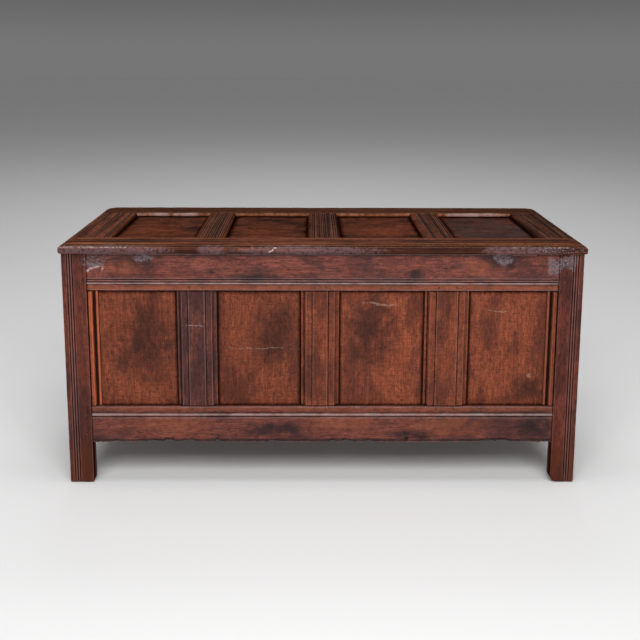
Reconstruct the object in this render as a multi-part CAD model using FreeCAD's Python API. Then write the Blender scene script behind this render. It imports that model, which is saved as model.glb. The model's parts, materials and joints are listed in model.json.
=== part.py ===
import FreeCAD, Part
import math
import os

from FreeCAD import Vector

# A joined oak chest: four posts, panelled walls, a boarded bottom and a panelled lid on two strap hinges.
# Millimetres. +Z is up, the front faces -Y, and the origin is on the floor under the middle of the lid.

# Case
CASE_WIDTH = 1342.0
CASE_DEPTH = 553.0
CASE_HEIGHT = 626.0
LEG_HEIGHT = 113.0
BOTTOM_RAIL_HEIGHT = 100.0
TOP_RAIL_HEIGHT = 99.0
POST_WIDTH = 63.0
POST_DEPTH = 40.0
RAIL_DEPTH = 32.0
END_RAIL_DEPTH = 30.0
END_INSET = 3.0

# Run mouldings of the case
POST_REED_INSET = 13.0
POST_REED_WIDTH = 6.5
POST_REED_COUNT = 2
REED_DEPTH = 2.4
QUIRK_WIDTH = 1.6
BAND_SETBACK = 2.5
TOP_BAND_WIDTH = 15.0
TOP_REED_WIDTH = 6.5
TOP_REED_COUNT = 2
BOTTOM_BAND_WIDTH = 17.0
BOTTOM_REED_WIDTH = 9.5
BOTTOM_REED_COUNT = 1

# Muntins between the panels, each as wide as its flat and two moulded edges
FRONT_LEFT_FLAT = 44.0
FRONT_CENTRE_FLAT = 40.0
FRONT_RIGHT_FLAT = 56.0
END_FLAT = 46.0
BACK_MUNTIN_WIDTH = 92.0
MUNTIN_DEPTH = 28.0
MUNTIN_QUIRK_DEPTH = 2.2
MUNTIN_BAND_WIDTH = 16.5
MUNTIN_BAND_DROP = 0.8
COVE_RADIUS = 11.0
FRONT_PANEL_SHARES = (0.239, 0.259, 0.263, 0.239)
BACK_PANEL_SHARES = (0.333, 0.334, 0.333)
END_PANEL_SHARES = (0.5, 0.5)

# Planted moulding slips beside the front posts
SLIP_BAND_WIDTH = 11.5
SLIP_DROP = 2.5
SLIP_COVE_RADIUS = 8.0
SLIP_BEAD_WIDTH = 7.0
SLIP_BEAD_RISE = 2.2

# Slips let into the top edge of the front top rail
PATCH_INSET = 120.0
PATCH_LENGTH = 69.0
PATCH_HEIGHT = 5.5
PATCH_DEPTH = 24.0

# Panels and their grooves
PANEL_SETBACK = 16.0
PANEL_THICKNESS = 12.5
PANEL_BEVEL = 34.0
PANEL_ENTRY = 8.5
PANEL_PLAY = 1.0
GROOVE_WIDTH = 7.5
GROOVE_DEPTH = 10.0
PANEL_FIT = 0.2

# Mortise and tenon joints and their pegs
TENON_FRONT = 10.0
TENON_THICKNESS = 11.0
TENON_SHOULDER = 10.0
FRONT_TENON_LENGTH = 34.0
END_TENON_LENGTH = 26.0
MUNTIN_TENON_LENGTH = 30.0
MUNTIN_TENON_SIDE = 22.0
TENON_FIT = 0.15
MORTISE_SPARE = 1.5
PEG_DIAMETER = 7.5
PEG_PROUD = 0.6
PEG_REACH = 5.0
PEG_FIT = 0.05
POST_PEG_SETBACK = 14.0
POST_PEG_INSET = 14.0
MUNTIN_PEG_SETBACK = 8.5
MUNTIN_PEG_INSET = 12.0

# Bottom boards, front edges in a groove and back edges nailed up under the back rail
BOARD_COUNT = 4
BOARD_THICKNESS = 12.5
BOARD_LIFT = 15.0
BOARD_ENTRY = 9.0
BOARD_GAP = 0.5
BOARD_POST_GAP = 0.8
BOARD_BACK_INSET = 2.0
BOARD_NAIL_INSET = 40.0

# Lid
LID_THICKNESS = 24.0
LID_FRONT_OVERHANG = 15.0
LID_SIDE_OVERHANG = 4.0
LID_BACK_OVERHANG = 12.0
LID_BACK_CORNER = 24.0
LID_FRONT_CORNER = 5.0
LID_RAIL_WIDTH = 107.0
LID_LEFT_STILE_WIDTH = 115.0
LID_RIGHT_STILE_WIDTH = 103.0
LID_LEFT_MUNTIN_WIDTH = 80.0
LID_CENTRE_MUNTIN_WIDTH = 88.0
LID_RIGHT_MUNTIN_WIDTH = 86.0
LID_PANEL_SHARES = (0.25, 0.25, 0.25, 0.25)
LID_PANEL_SETBACK = 10.0
LID_PANEL_THICKNESS = 9.5
LID_PANEL_BEVEL = 26.0
LID_GROOVE_WIDTH = 6.0
LID_TENON_FRONT = 9.0
LID_TENON_THICKNESS = 8.0
LID_TENON_LENGTH = 48.0
LID_TENON_SIDE = 18.0
LID_PEG_SETBACK = 15.0
LID_PEG_INSET = 12.0
LID_PEG_DEPTH = 19.0

# Lid mouldings: a rounded nose, a shelf, a sloping hem and reeds along the panels
NOSE_TUCK = 4.0
NOSE_STEP = 4.6
NOSE_SHELF = 9.5
NOSE_QUIRK = 1.0
HEM_DROP = 2.4
HEM_RISE = 0.9
HEM_WIDTH = 18.0
LID_REED_WIDTH = 5.0
LID_REED_COUNT = 2
LID_REED_DEPTH = 1.8
LID_EDGE_REED_WIDTH = 6.0
LID_EDGE_FILLET = 3.0
LID_OVOLO_RADIUS = 7.5

# Iron strap hinges
STRAP_WIDTH = 34.0
STRAP_TIP_WIDTH = 17.0
STRAP_THICKNESS = 2.5
LID_STRAP_LENGTH = 230.0
BACK_STRAP_LENGTH = 78.0
PENNY_DIAMETER = 26.0
PIN_DIAMETER = 6.0
PIN_FIT = 0.05
PIN_END = 1.5
EYE_GAP = 0.4
KNUCKLE_WIDTH = 13.0
KNUCKLE_GAP = 0.3
NOTCH_PLAY = 0.8
NAIL_DIAMETER = 3.2
NAIL_HEAD_DIAMETER = 9.0
NAIL_HEAD_HEIGHT = 2.0
NAIL_LENGTH = 14.0
NAIL_FIT = 0.05
NAIL_EDGE = 16.0
LID_NAIL_SHARES = (0.0, 0.36, 0.7)
BACK_NAIL_SHARES = (0.0, 0.52)

CUT_OVERRUN = 2.0

# Levels and planes that follow from the sizes above
LID_WIDTH = CASE_WIDTH + 2 * LID_SIDE_OVERHANG
LID_DEPTH = CASE_DEPTH + LID_FRONT_OVERHANG + LID_BACK_OVERHANG
FRONT_Y = LID_FRONT_OVERHANG - LID_DEPTH / 2
BACK_Y = FRONT_Y + CASE_DEPTH
BOTTOM_RAIL_TOP = LEG_HEIGHT + BOTTOM_RAIL_HEIGHT
TOP_RAIL_BOTTOM = CASE_HEIGHT - TOP_RAIL_HEIGHT
LID_TOP = CASE_HEIGHT + LID_THICKNESS
POST_INNER = CASE_WIDTH / 2 - POST_WIDTH
BOARD_BOTTOM = LEG_HEIGHT + BOARD_LIFT
BOARD_TOP = BOARD_BOTTOM + BOARD_THICKNESS
SLIP_WIDTH = SLIP_BAND_WIDTH + SLIP_COVE_RADIUS + SLIP_BEAD_WIDTH
MUNTIN_EDGE = QUIRK_WIDTH + MUNTIN_BAND_WIDTH + COVE_RADIUS
EYE_RADIUS = PIN_DIAMETER / 2 + PIN_FIT + STRAP_THICKNESS
HINGE_Y = BACK_Y + EYE_RADIUS + EYE_GAP
HINGE_Z = CASE_HEIGHT - EYE_RADIUS - EYE_GAP
DIAGONAL_SHARE = math.sqrt(0.5)

AXIS_X = Vector(1, 0, 0)
AXIS_Y = Vector(0, 1, 0)
AXIS_Z = Vector(0, 0, 1)

nodes = {}


def line(*points):
    """Straight strokes of a section to each point in turn, as (middle, end) pairs."""
    return [(None, point) for point in points]


def arc(middle, end):
    """One round stroke of a section, through a middle point to its end."""
    return [(middle, end)]


def flipped(path):
    """The same strokes drawn from the last point back to the first."""
    ends = [end for _, end in path]
    middles = [middle for middle, _ in path[1:]]
    return line(ends[-1]) + list(zip(reversed(middles), reversed(ends[:-1])))


def mirrored(path):
    """The same strokes on the other side of the section's middle."""
    return [(middle and (-middle[0], middle[1]), (-end[0], end[1])) for middle, end in path]


def shifted(path, by):
    """The same strokes moved across the section."""
    return [(middle and (middle[0] + by, middle[1]), (end[0] + by, end[1])) for middle, end in path]


def section_face(path, place):
    """Flat face inside a path that a straight stroke closes, set in space by place(s, d)."""
    edges = []
    for (_, start), (middle, end) in zip(path, path[1:] + line(path[0][1])):
        if middle is None:
            edges.append(Part.LineSegment(place(*start), place(*end)).toShape())
        else:
            edges.append(Part.Arc(place(*start), place(*middle), place(*end)).toShape())
    return Part.Face(Part.Wire(edges))


def grown(span, low, high):
    """A (low, high) range made longer at each end."""
    return (span[0] - low, span[1] + high)


def carve(name, *tools):
    """Cut tools out of a piece that is already made."""
    nodes[name] = nodes[name].cut(list(tools))


class Side:
    """One face of the chest: a runs along it, b across it and d into the wood from its surface."""

    def __init__(self, origin, along, across, inward):
        self.origin = origin
        self.along = along
        self.across = across
        self.inward = inward

    def point(self, a, b, d):
        return self.origin + self.along * a + self.across * b + self.inward * d

    def block(self, a, b, d):
        """Box over three (low, high) ranges."""
        near = self.point(a[0], b[0], d[0])
        far = self.point(a[1], b[1], d[1])
        low = Vector(min(near.x, far.x), min(near.y, far.y), min(near.z, far.z))
        return Part.makeBox(abs(far.x - near.x), abs(far.y - near.y), abs(far.z - near.z), low)

    def rail(self, path, a, edge, turn):
        """Bar along a, its section drawn from the edge at b towards turn (1 up, -1 down)."""
        face = section_face(path, lambda s, d: self.point(a[0], edge + turn * s, d))
        return face.extrude(self.along * (a[1] - a[0]))

    def upright(self, path, b, edge, turn):
        """Bar along b, its section drawn from the edge at a towards turn (1 or -1)."""
        face = section_face(path, lambda s, d: self.point(edge + turn * s, b[0], d))
        return face.extrude(self.across * (b[1] - b[0]))

    def rod(self, a, b, d, diameter):
        """Round rod along d, over the (low, high) range d."""
        return Part.makeCylinder(diameter / 2, d[1] - d[0], self.point(a, b, d[0]), self.inward)

    def rectangle(self, a, b, d):
        """Closed rectangle at depth d."""
        corners = [(a[0], b[0]), (a[1], b[0]), (a[1], b[1]), (a[0], b[1]), (a[0], b[0])]
        return Part.makePolygon([self.point(s, t, d) for s, t in corners])

    def panel(self, a, b, setback, tongue, thickness, bevel):
        """Panel whose flat tongue enters the grooves round the opening a by b, bevelled behind."""
        front = setback + PANEL_FIT
        back = front + tongue
        tongue_a, tongue_b = (grown(span, PANEL_ENTRY, PANEL_ENTRY) for span in (a, b))
        plate = self.block(tongue_a, tongue_b, (front, back))
        base = self.rectangle(grown(a, -PANEL_PLAY, -PANEL_PLAY), grown(b, -PANEL_PLAY, -PANEL_PLAY), back)
        field = self.rectangle(grown(a, -bevel, -bevel), grown(b, -bevel, -bevel), front + thickness)
        return plate.fuse(Part.makeLoft([base, field], True, True)).removeSplitter()


FRONT = Side(Vector(0, FRONT_Y, 0), AXIS_X, AXIS_Z, AXIS_Y)
BACK = Side(Vector(0, BACK_Y, 0), AXIS_X, AXIS_Z, -AXIS_Y)
LEFT_END = Side(Vector(END_INSET - CASE_WIDTH / 2, 0, 0), AXIS_Y, AXIS_Z, AXIS_X)
RIGHT_END = Side(Vector(CASE_WIDTH / 2 - END_INSET, 0, 0), AXIS_Y, AXIS_Z, -AXIS_X)
LID = Side(Vector(0, 0, LID_TOP), AXIS_X, AXIS_Y, -AXIS_Z)
LID_UNDERSIDE = Side(Vector(0, 0, CASE_HEIGHT), AXIS_X, AXIS_Y, AXIS_Z)
BOARD_UNDERSIDE = Side(Vector(0, 0, BOARD_BOTTOM), AXIS_X, AXIS_Y, AXIS_Z)


# Mouldings, drawn as s across the face and d below it

def reeds(start, width, count, depth):
    """Round reeds flush with the face, between two quirks."""
    path = line((start, 0), (start + QUIRK_WIDTH, depth))
    for index in range(count):
        left = start + QUIRK_WIDTH + index * width
        path += arc((left + width / 2, 0), (left + width, depth))
    return path + line((start + 2 * QUIRK_WIDTH + count * width, 0))


def reeds_width(width, count):
    return 2 * QUIRK_WIDTH + count * width


def groove(edge, setback, width, turn):
    """Panel groove in the edge of a bar, met from the back, cut towards turn."""
    inner = edge + turn * GROOVE_DEPTH
    return line((edge, setback + width), (inner, setback + width), (inner, setback), (edge, setback))


def moulded_rail(height, depth, band, reed_width, reed_count):
    """Rail section from its panel edge: a sunk band, reeds and a flat, with the panel groove."""
    path = line((0, BAND_SETBACK), (band, BAND_SETBACK))
    path += reeds(band, reed_width, reed_count, REED_DEPTH)[1:]
    path += line((height, 0), (height, depth), (0, depth))
    return path + groove(0, PANEL_SETBACK, GROOVE_WIDTH, 1)


def top_rail_section(depth):
    return moulded_rail(TOP_RAIL_HEIGHT, depth, TOP_BAND_WIDTH, TOP_REED_WIDTH, TOP_REED_COUNT)


def bottom_rail_section(depth):
    return moulded_rail(BOTTOM_RAIL_HEIGHT, depth, BOTTOM_BAND_WIDTH, BOTTOM_REED_WIDTH, BOTTOM_REED_COUNT)


def plain_rail(height, depth):
    path = line((0, 0), (height, 0), (height, depth), (0, depth))
    return path + groove(0, PANEL_SETBACK, GROOVE_WIDTH, 1)


def moulded_muntin(flat):
    """Muntin section about its middle: a flat, then a quirk, a band and a cove down to each panel."""
    edge = flat / 2 + MUNTIN_EDGE
    top = BAND_SETBACK + MUNTIN_BAND_DROP
    cove = edge - COVE_RADIUS
    half = line((flat / 2, BAND_SETBACK))
    half += line((flat / 2 + QUIRK_WIDTH / 2, BAND_SETBACK + MUNTIN_QUIRK_DEPTH))
    half += line((flat / 2 + QUIRK_WIDTH, top), (cove, top))
    half += arc((edge - COVE_RADIUS * DIAGONAL_SHARE, top + COVE_RADIUS * DIAGONAL_SHARE),
                (edge, top + COVE_RADIUS))
    half += flipped(groove(edge, PANEL_SETBACK, GROOVE_WIDTH, -1))
    half += line((edge, BAND_SETBACK + MUNTIN_DEPTH))
    return flipped(mirrored(half)) + half


def plain_muntin(width):
    half = line((width / 2, 0)) + flipped(groove(width / 2, PANEL_SETBACK, GROOVE_WIDTH, -1))
    half += line((width / 2, MUNTIN_DEPTH))
    return flipped(mirrored(half)) + half


def post_section(reeded):
    """Post section from its outer edge, with a run of reeds on a front post."""
    path = line((0, 0))
    if reeded:
        path += reeds(POST_REED_INSET, POST_REED_WIDTH, POST_REED_COUNT, REED_DEPTH)
    return path + line((POST_WIDTH, 0), (POST_WIDTH, POST_DEPTH), (0, POST_DEPTH))


def slip_section():
    """Planted slip from the post: a band, a cove and a bead, with its back on the panel."""
    cove_end = SLIP_BAND_WIDTH + SLIP_COVE_RADIUS
    low = SLIP_DROP + SLIP_COVE_RADIUS
    back = PANEL_SETBACK + PANEL_FIT
    path = line((0, SLIP_DROP), (SLIP_BAND_WIDTH, SLIP_DROP))
    path += arc((cove_end - SLIP_COVE_RADIUS * DIAGONAL_SHARE, SLIP_DROP + SLIP_COVE_RADIUS * DIAGONAL_SHARE),
                (cove_end, low))
    path += arc((cove_end + SLIP_BEAD_WIDTH / 2, low - SLIP_BEAD_RISE), (SLIP_WIDTH, low))
    return path + line((SLIP_WIDTH, back), (0, back))


def nosing():
    """Outer edge of the lid from the underside up: a round nose, a shelf, a quirk and a sloping hem."""
    path = line((NOSE_TUCK, LID_THICKNESS))
    path += arc((0, (LID_THICKNESS + NOSE_STEP) / 2), (NOSE_TUCK, NOSE_STEP))
    path += line((NOSE_SHELF - NOSE_QUIRK, NOSE_STEP), (NOSE_SHELF, NOSE_STEP + NOSE_QUIRK))
    hem_end = NOSE_SHELF + HEM_WIDTH
    return path + line((NOSE_SHELF, HEM_DROP), (hem_end, HEM_RISE), (hem_end + HEM_RISE, 0))


def lid_panel_edge(edge):
    """Panel edge of a lid bar: a reed, a fillet and an ovolo down to the groove, ending at the underside."""
    ovolo = edge - LID_OVOLO_RADIUS
    reed_start = ovolo - LID_EDGE_FILLET - reeds_width(LID_EDGE_REED_WIDTH, 1)
    path = reeds(reed_start, LID_EDGE_REED_WIDTH, 1, LID_REED_DEPTH) + line((ovolo, 0))
    path += arc((ovolo + LID_OVOLO_RADIUS * DIAGONAL_SHARE, LID_OVOLO_RADIUS * (1 - DIAGONAL_SHARE)),
                (edge, LID_OVOLO_RADIUS))
    path += flipped(groove(edge, LID_PANEL_SETBACK, LID_GROOVE_WIDTH, -1))
    return path + line((edge, LID_THICKNESS))


def lid_stile_section(width):
    """Lid end stile from its nosing, with reeds midway between the hem and the panel edge."""
    hem_end = NOSE_SHELF + HEM_WIDTH + HEM_RISE
    flat_end = width - LID_OVOLO_RADIUS - LID_EDGE_FILLET - reeds_width(LID_EDGE_REED_WIDTH, 1)
    reed_start = (hem_end + flat_end - reeds_width(LID_REED_WIDTH, LID_REED_COUNT)) / 2
    path = nosing() + reeds(reed_start, LID_REED_WIDTH, LID_REED_COUNT, LID_REED_DEPTH)
    return path + lid_panel_edge(width)


def lid_muntin_section(width):
    """Lid muntin about its middle, with reeds along the middle and along each panel."""
    reed_start = -reeds_width(LID_REED_WIDTH, LID_REED_COUNT) / 2
    middle = reeds(reed_start, LID_REED_WIDTH, LID_REED_COUNT, LID_REED_DEPTH)
    edge = lid_panel_edge(width / 2)
    return flipped(mirrored(edge)) + middle + edge


# Frames of rails, muntins and panels

def divide(span, margin, widths, shares):
    """Ranges of the muntins across a span, the rest shared among the openings beside them."""
    free = span[1] - span[0] - 2 * margin - sum(widths)
    ranges = []
    edge = span[0] + margin
    for width, share in zip(widths, shares):
        start = edge + free * share
        ranges.append((start, start + width))
        edge = start + width
    return ranges


def openings_between(span, bars):
    """Ranges left between the ends of a span and the bars that cross it."""
    edges = [span[0]] + [edge for bar in bars for edge in bar] + [span[1]]
    return list(zip(edges[0::2], edges[1::2]))


class Wall:
    """One wall of the case: two rails between two posts, with muntins and panels between the rails."""

    def __init__(self, name, side, posts, span, tenon_length, setback):
        self.name = name
        self.side = side
        self.posts = posts
        self.span = span
        self.tenon_length = tenon_length
        self.setback = setback
        self.tenon_depth = (TENON_FRONT, TENON_FRONT + TENON_THICKNESS)
        self.pegs = []

    def peg(self, a, b, surface, carriers):
        """Peg through a tenon, with its hole in each piece that it passes."""
        end = self.tenon_depth[1] + PEG_REACH
        self.pegs.append(self.side.rod(a, b, (surface - PEG_PROUD, end), PEG_DIAMETER))
        hole = self.side.rod(a, b, (surface - PEG_PROUD - CUT_OVERRUN, end), PEG_DIAMETER + 2 * PEG_FIT)
        for carrier in carriers:
            carve(carrier, hole)

    def mortise(self, a, b):
        """Pocket for a tenon that fills a by b, with room at its cheeks."""
        return self.side.block(grown(a, TENON_FIT, TENON_FIT), grown(b, TENON_FIT, TENON_FIT),
                               grown(self.tenon_depth, TENON_FIT, TENON_FIT))

    def add_rail(self, label, section, height, edge, turn):
        """Rail drawn from its panel edge, tenoned and pegged into both posts."""
        name = f"{self.name}_{label}_rail"
        nodes[name] = self.side.rail(section, self.span, edge, turn)
        b = sorted((edge + turn * TENON_SHOULDER, edge + turn * (height - TENON_SHOULDER)))
        for post, end, away in ((self.posts[0], self.span[0], -1), (self.posts[1], self.span[1], 1)):
            reach = sorted((end, end + away * self.tenon_length))
            pocket = sorted((end, end + away * (self.tenon_length + MORTISE_SPARE)))
            nodes[name] = nodes[name].fuse(self.side.block(reach, b, self.tenon_depth)).removeSplitter()
            carve(post, self.mortise(pocket, b))
            for level in (b[0] + POST_PEG_INSET, b[1] - POST_PEG_INSET):
                self.peg(end + away * POST_PEG_SETBACK, level, -self.setback, (post, name))
        return name

    def add_muntin(self, name, section, span, surface):
        """Muntin tenoned and pegged into both rails."""
        middle = (span[0] + span[1]) / 2
        b = (self.low, self.high)
        nodes[name] = self.side.upright(section, b, middle, 1)
        a = grown(span, -MUNTIN_TENON_SIDE, -MUNTIN_TENON_SIDE)
        for rail, end, away in ((self.bottom, self.low, -1), (self.top, self.high, 1)):
            reach = sorted((end, end + away * MUNTIN_TENON_LENGTH))
            pocket = sorted((end, end + away * (MUNTIN_TENON_LENGTH + MORTISE_SPARE)))
            nodes[name] = nodes[name].fuse(self.side.block(a, reach, self.tenon_depth)).removeSplitter()
            carve(rail, self.mortise(a, pocket))
            for place in (a[0] + MUNTIN_PEG_INSET, a[1] - MUNTIN_PEG_INSET):
                self.peg(place, end + away * MUNTIN_PEG_SETBACK, surface, (rail, name))

    def add_frame(self, top_section, bottom_section, bottom_height):
        """Top and bottom rail, and the grooves that carry on into the posts between them."""
        self.low = BOTTOM_RAIL_TOP
        self.high = TOP_RAIL_BOTTOM
        self.top = self.add_rail("top", top_section, TOP_RAIL_HEIGHT, self.high, 1)
        self.bottom = self.add_rail("bottom", bottom_section, bottom_height, self.low, -1)
        slot = (PANEL_SETBACK, PANEL_SETBACK + GROOVE_WIDTH)
        b = grown((self.low, self.high), PANEL_ENTRY, PANEL_ENTRY)
        for post, end, away in ((self.posts[0], self.span[0], -1), (self.posts[1], self.span[1], 1)):
            carve(post, self.side.block(sorted((end, end + away * GROOVE_DEPTH)), b, slot))

    def add_panels(self, names, bars):
        tongue = GROOVE_WIDTH - 2 * PANEL_FIT
        for name, a in zip(names, openings_between(self.span, bars)):
            nodes[name] = self.side.panel(a, (self.low, self.high), PANEL_SETBACK, tongue,
                                          PANEL_THICKNESS, PANEL_BEVEL)


def make_posts():
    """Four posts, the front pair reeded near their outer edges."""
    height = (0, CASE_HEIGHT)
    for place, side, reeded in (("front", FRONT, True), ("back", BACK, False)):
        section = post_section(reeded)
        nodes[f"{place}_left_post"] = side.upright(section, height, -CASE_WIDTH / 2, 1)
        nodes[f"{place}_right_post"] = side.upright(section, height, CASE_WIDTH / 2, -1)


def make_front():
    """Front wall with moulded rails, three muntins, four panels and two planted slips."""
    span = (-POST_INNER, POST_INNER)
    wall = Wall("front", FRONT, ("front_left_post", "front_right_post"), span, FRONT_TENON_LENGTH, 0)
    wall.add_frame(top_rail_section(RAIL_DEPTH), bottom_rail_section(RAIL_DEPTH), BOTTOM_RAIL_HEIGHT)
    flats = (FRONT_LEFT_FLAT, FRONT_CENTRE_FLAT, FRONT_RIGHT_FLAT)
    bars = divide(span, SLIP_WIDTH, [flat + 2 * MUNTIN_EDGE for flat in flats], FRONT_PANEL_SHARES)
    for label, flat, bar in zip(("left", "centre", "right"), flats, bars):
        wall.add_muntin(f"front_{label}_muntin", moulded_muntin(flat), bar, BAND_SETBACK)
    labels = ("left", "centre_left", "centre_right", "right")
    wall.add_panels([f"front_{label}_panel" for label in labels], bars)
    opening = (wall.low, wall.high)
    nodes["front_left_moulding_slip"] = FRONT.upright(slip_section(), opening, span[0], 1)
    nodes["front_right_moulding_slip"] = FRONT.upright(slip_section(), opening, span[1], -1)
    make_patches()
    return wall.pegs


def make_patches():
    """Slips of oak let into the top edge of the front top rail."""
    b = (CASE_HEIGHT - PATCH_HEIGHT, CASE_HEIGHT)
    start = CASE_WIDTH / 2 - PATCH_INSET
    for label, turn in (("left", -1), ("right", 1)):
        a = sorted((turn * start, turn * (start - PATCH_LENGTH)))
        nodes[f"front_{label}_rail_patch"] = FRONT.block(a, b, (0, PATCH_DEPTH))
        carve("front_top_rail", nodes[f"front_{label}_rail_patch"])


def make_back():
    """Plain back wall, its bottom rail resting on the bottom boards."""
    span = (-POST_INNER, POST_INNER)
    wall = Wall("back", BACK, ("back_left_post", "back_right_post"), span, FRONT_TENON_LENGTH, 0)
    bottom_height = BOTTOM_RAIL_TOP - BOARD_TOP
    top_section = plain_rail(TOP_RAIL_HEIGHT, RAIL_DEPTH)
    wall.add_frame(top_section, plain_rail(bottom_height, RAIL_DEPTH), bottom_height)
    bars = divide(span, 0, (BACK_MUNTIN_WIDTH, BACK_MUNTIN_WIDTH), BACK_PANEL_SHARES)
    for label, bar in zip(("left", "right"), bars):
        wall.add_muntin(f"back_{label}_muntin", plain_muntin(BACK_MUNTIN_WIDTH), bar, 0)
    wall.add_panels([f"back_{label}_panel" for label in ("left", "centre", "right")], bars)
    return wall.pegs


def make_end(name, side):
    """End wall of two moulded rails, a muntin and two panels, set in a little from the posts' sides."""
    span = (FRONT_Y + POST_DEPTH, BACK_Y - POST_DEPTH)
    posts = [f"{place}_{name}_post" for place in ("front", "back")]
    wall = Wall(f"{name}_end", side, posts, span, END_TENON_LENGTH, END_INSET)
    wall.add_frame(top_rail_section(END_RAIL_DEPTH), bottom_rail_section(END_RAIL_DEPTH), BOTTOM_RAIL_HEIGHT)
    bars = divide(span, 0, (END_FLAT + 2 * MUNTIN_EDGE,), END_PANEL_SHARES)
    wall.add_muntin(f"{name}_end_muntin", moulded_muntin(END_FLAT), bars[0], BAND_SETBACK)
    wall.add_panels([f"{name}_end_{label}_panel" for label in ("front", "back")], bars)
    return wall.pegs


def nail(side, a, b, surface):
    """Hand-made nail driven along d, its low round head standing on the surface."""
    point = side.point(a, b, surface)
    head = Part.makeCone(NAIL_DIAMETER / 2, NAIL_HEAD_DIAMETER / 2, NAIL_HEAD_HEIGHT,
                         point - side.inward * NAIL_HEAD_HEIGHT, side.inward)
    shank = side.rod(a, b, (surface, surface + NAIL_LENGTH), NAIL_DIAMETER)
    return head.fuse(shank).removeSplitter()


def nail_hole(side, a, b, surface):
    """Hole that a nail fills below the surface."""
    return side.rod(a, b, (surface - CUT_OVERRUN, surface + NAIL_LENGTH), NAIL_DIAMETER + 2 * NAIL_FIT)


def make_bottom():
    """Bottom boards laid front to back round the posts, with the groove and the nails that hold them."""
    half = CASE_WIDTH / 2 - END_INSET - END_RAIL_DEPTH - BOARD_GAP
    width = (2 * half - (BOARD_COUNT - 1) * BOARD_GAP) / BOARD_COUNT
    levels = (BOARD_BOTTOM, BOARD_TOP)
    front = RAIL_DEPTH - BOARD_ENTRY
    depth = (front + PANEL_FIT, CASE_DEPTH - BOARD_BACK_INSET)
    carve("front_bottom_rail", FRONT.block((-POST_INNER, POST_INNER), levels, (front, RAIL_DEPTH)))
    post_gap = POST_INNER - BOARD_POST_GAP
    front_gap = POST_DEPTH + BOARD_POST_GAP
    corners = []
    for a in ((-CASE_WIDTH, -post_gap), (post_gap, CASE_WIDTH)):
        corners.append(FRONT.block(a, levels, (0, front_gap)))
        corners.append(FRONT.block(a, levels, (CASE_DEPTH - front_gap, CASE_DEPTH)))
    nails = []
    for index in range(BOARD_COUNT):
        left = -half + index * (width + BOARD_GAP)
        name = f"bottom_board_{index + 1}"
        nodes[name] = FRONT.block((left, left + width), levels, depth).cut(corners)
        row = BACK_Y - RAIL_DEPTH / 2
        inset = BOARD_NAIL_INSET + (POST_WIDTH if index in (0, BOARD_COUNT - 1) else 0)
        for a in (left + inset, left + width - inset):
            nails.append(nail(BOARD_UNDERSIDE, a, row, 0))
            hole = nail_hole(BOARD_UNDERSIDE, a, row, 0)
            carve(name, hole)
            carve("back_bottom_rail", hole)
    nodes["bottom_board_nails"] = Part.makeCompound(nails)


def upright_edges(shape, turn):
    """Upright edges of a shape in its back half (turn 1) or its front half (turn -1)."""
    edges = [edge for edge in shape.Edges if abs(edge.tangentAt(edge.FirstParameter).z) > DIAGONAL_SHARE]
    return [edge for edge in edges if turn * edge.CenterOfMass.y > 0]


def lid_blank():
    """The lid's outer form: its nosing at both ends, and a plan with rounded corners."""
    half = LID_WIDTH / 2
    end = shifted(nosing(), -half)
    depth = (-LID_DEPTH / 2, LID_DEPTH / 2)
    form = LID.upright(end + flipped(mirrored(end)), depth, 0, 1)
    plan = LID.block((-half, half), depth, (-CUT_OVERRUN, LID_THICKNESS + CUT_OVERRUN))
    plan = plan.makeFillet(LID_BACK_CORNER, upright_edges(plan, 1))
    return form.common(plan.makeFillet(LID_FRONT_CORNER, upright_edges(plan, -1)))


def make_lid():
    """Panelled lid: rails along the front and back, with stiles and muntins coped to their ovolos between.

    Returns the ranges of the muntins.
    """
    half = LID_WIDTH / 2
    low = LID_RAIL_WIDTH - LID_DEPTH / 2
    high = LID_DEPTH / 2 - LID_RAIL_WIDTH
    opening = (low, high)
    blank = lid_blank()
    front_section = nosing() + lid_panel_edge(LID_RAIL_WIDTH)
    back_section = line((0, LID_THICKNESS), (0, 0)) + lid_panel_edge(LID_RAIL_WIDTH)
    nodes["lid_front_rail"] = LID.rail(front_section, (-half, half), -LID_DEPTH / 2, 1).common(blank)
    nodes["lid_back_rail"] = LID.rail(back_section, (-half, half), LID_DEPTH / 2, -1).common(blank)
    rails = [nodes["lid_front_rail"], nodes["lid_back_rail"]]
    coped = grown(opening, LID_OVOLO_RADIUS, LID_OVOLO_RADIUS)
    left = LID.upright(lid_stile_section(LID_LEFT_STILE_WIDTH), coped, -half, 1)
    right = LID.upright(lid_stile_section(LID_RIGHT_STILE_WIDTH), coped, half, -1)
    nodes["lid_left_stile"] = left.cut(rails)
    nodes["lid_right_stile"] = right.cut(rails)
    span = (LID_LEFT_STILE_WIDTH - half, half - LID_RIGHT_STILE_WIDTH)
    widths = (LID_LEFT_MUNTIN_WIDTH, LID_CENTRE_MUNTIN_WIDTH, LID_RIGHT_MUNTIN_WIDTH)
    bars = divide(span, 0, widths, LID_PANEL_SHARES)
    names = [f"lid_{label}_muntin" for label in ("left", "centre", "right")]
    for name, width, bar in zip(names, widths, bars):
        nodes[name] = LID.upright(lid_muntin_section(width), coped, (bar[0] + bar[1]) / 2, 1).cut(rails)
    crossing = [(-half, span[0])] + bars + [(span[1], half)]
    pegs = []
    for name, bar in zip(["lid_left_stile"] + names + ["lid_right_stile"], crossing):
        pegs += join_lid_bar(name, bar, opening)
    nodes["lid_pegs"] = Part.makeCompound(pegs)
    labels = ("left", "centre_left", "centre_right", "right")
    tongue = LID_GROOVE_WIDTH - 2 * PANEL_FIT
    for label, a in zip(labels, openings_between(span, bars)):
        nodes[f"lid_{label}_panel"] = LID.panel(a, opening, LID_PANEL_SETBACK, tongue,
                                                LID_PANEL_THICKNESS, LID_PANEL_BEVEL)
    return bars


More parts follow.
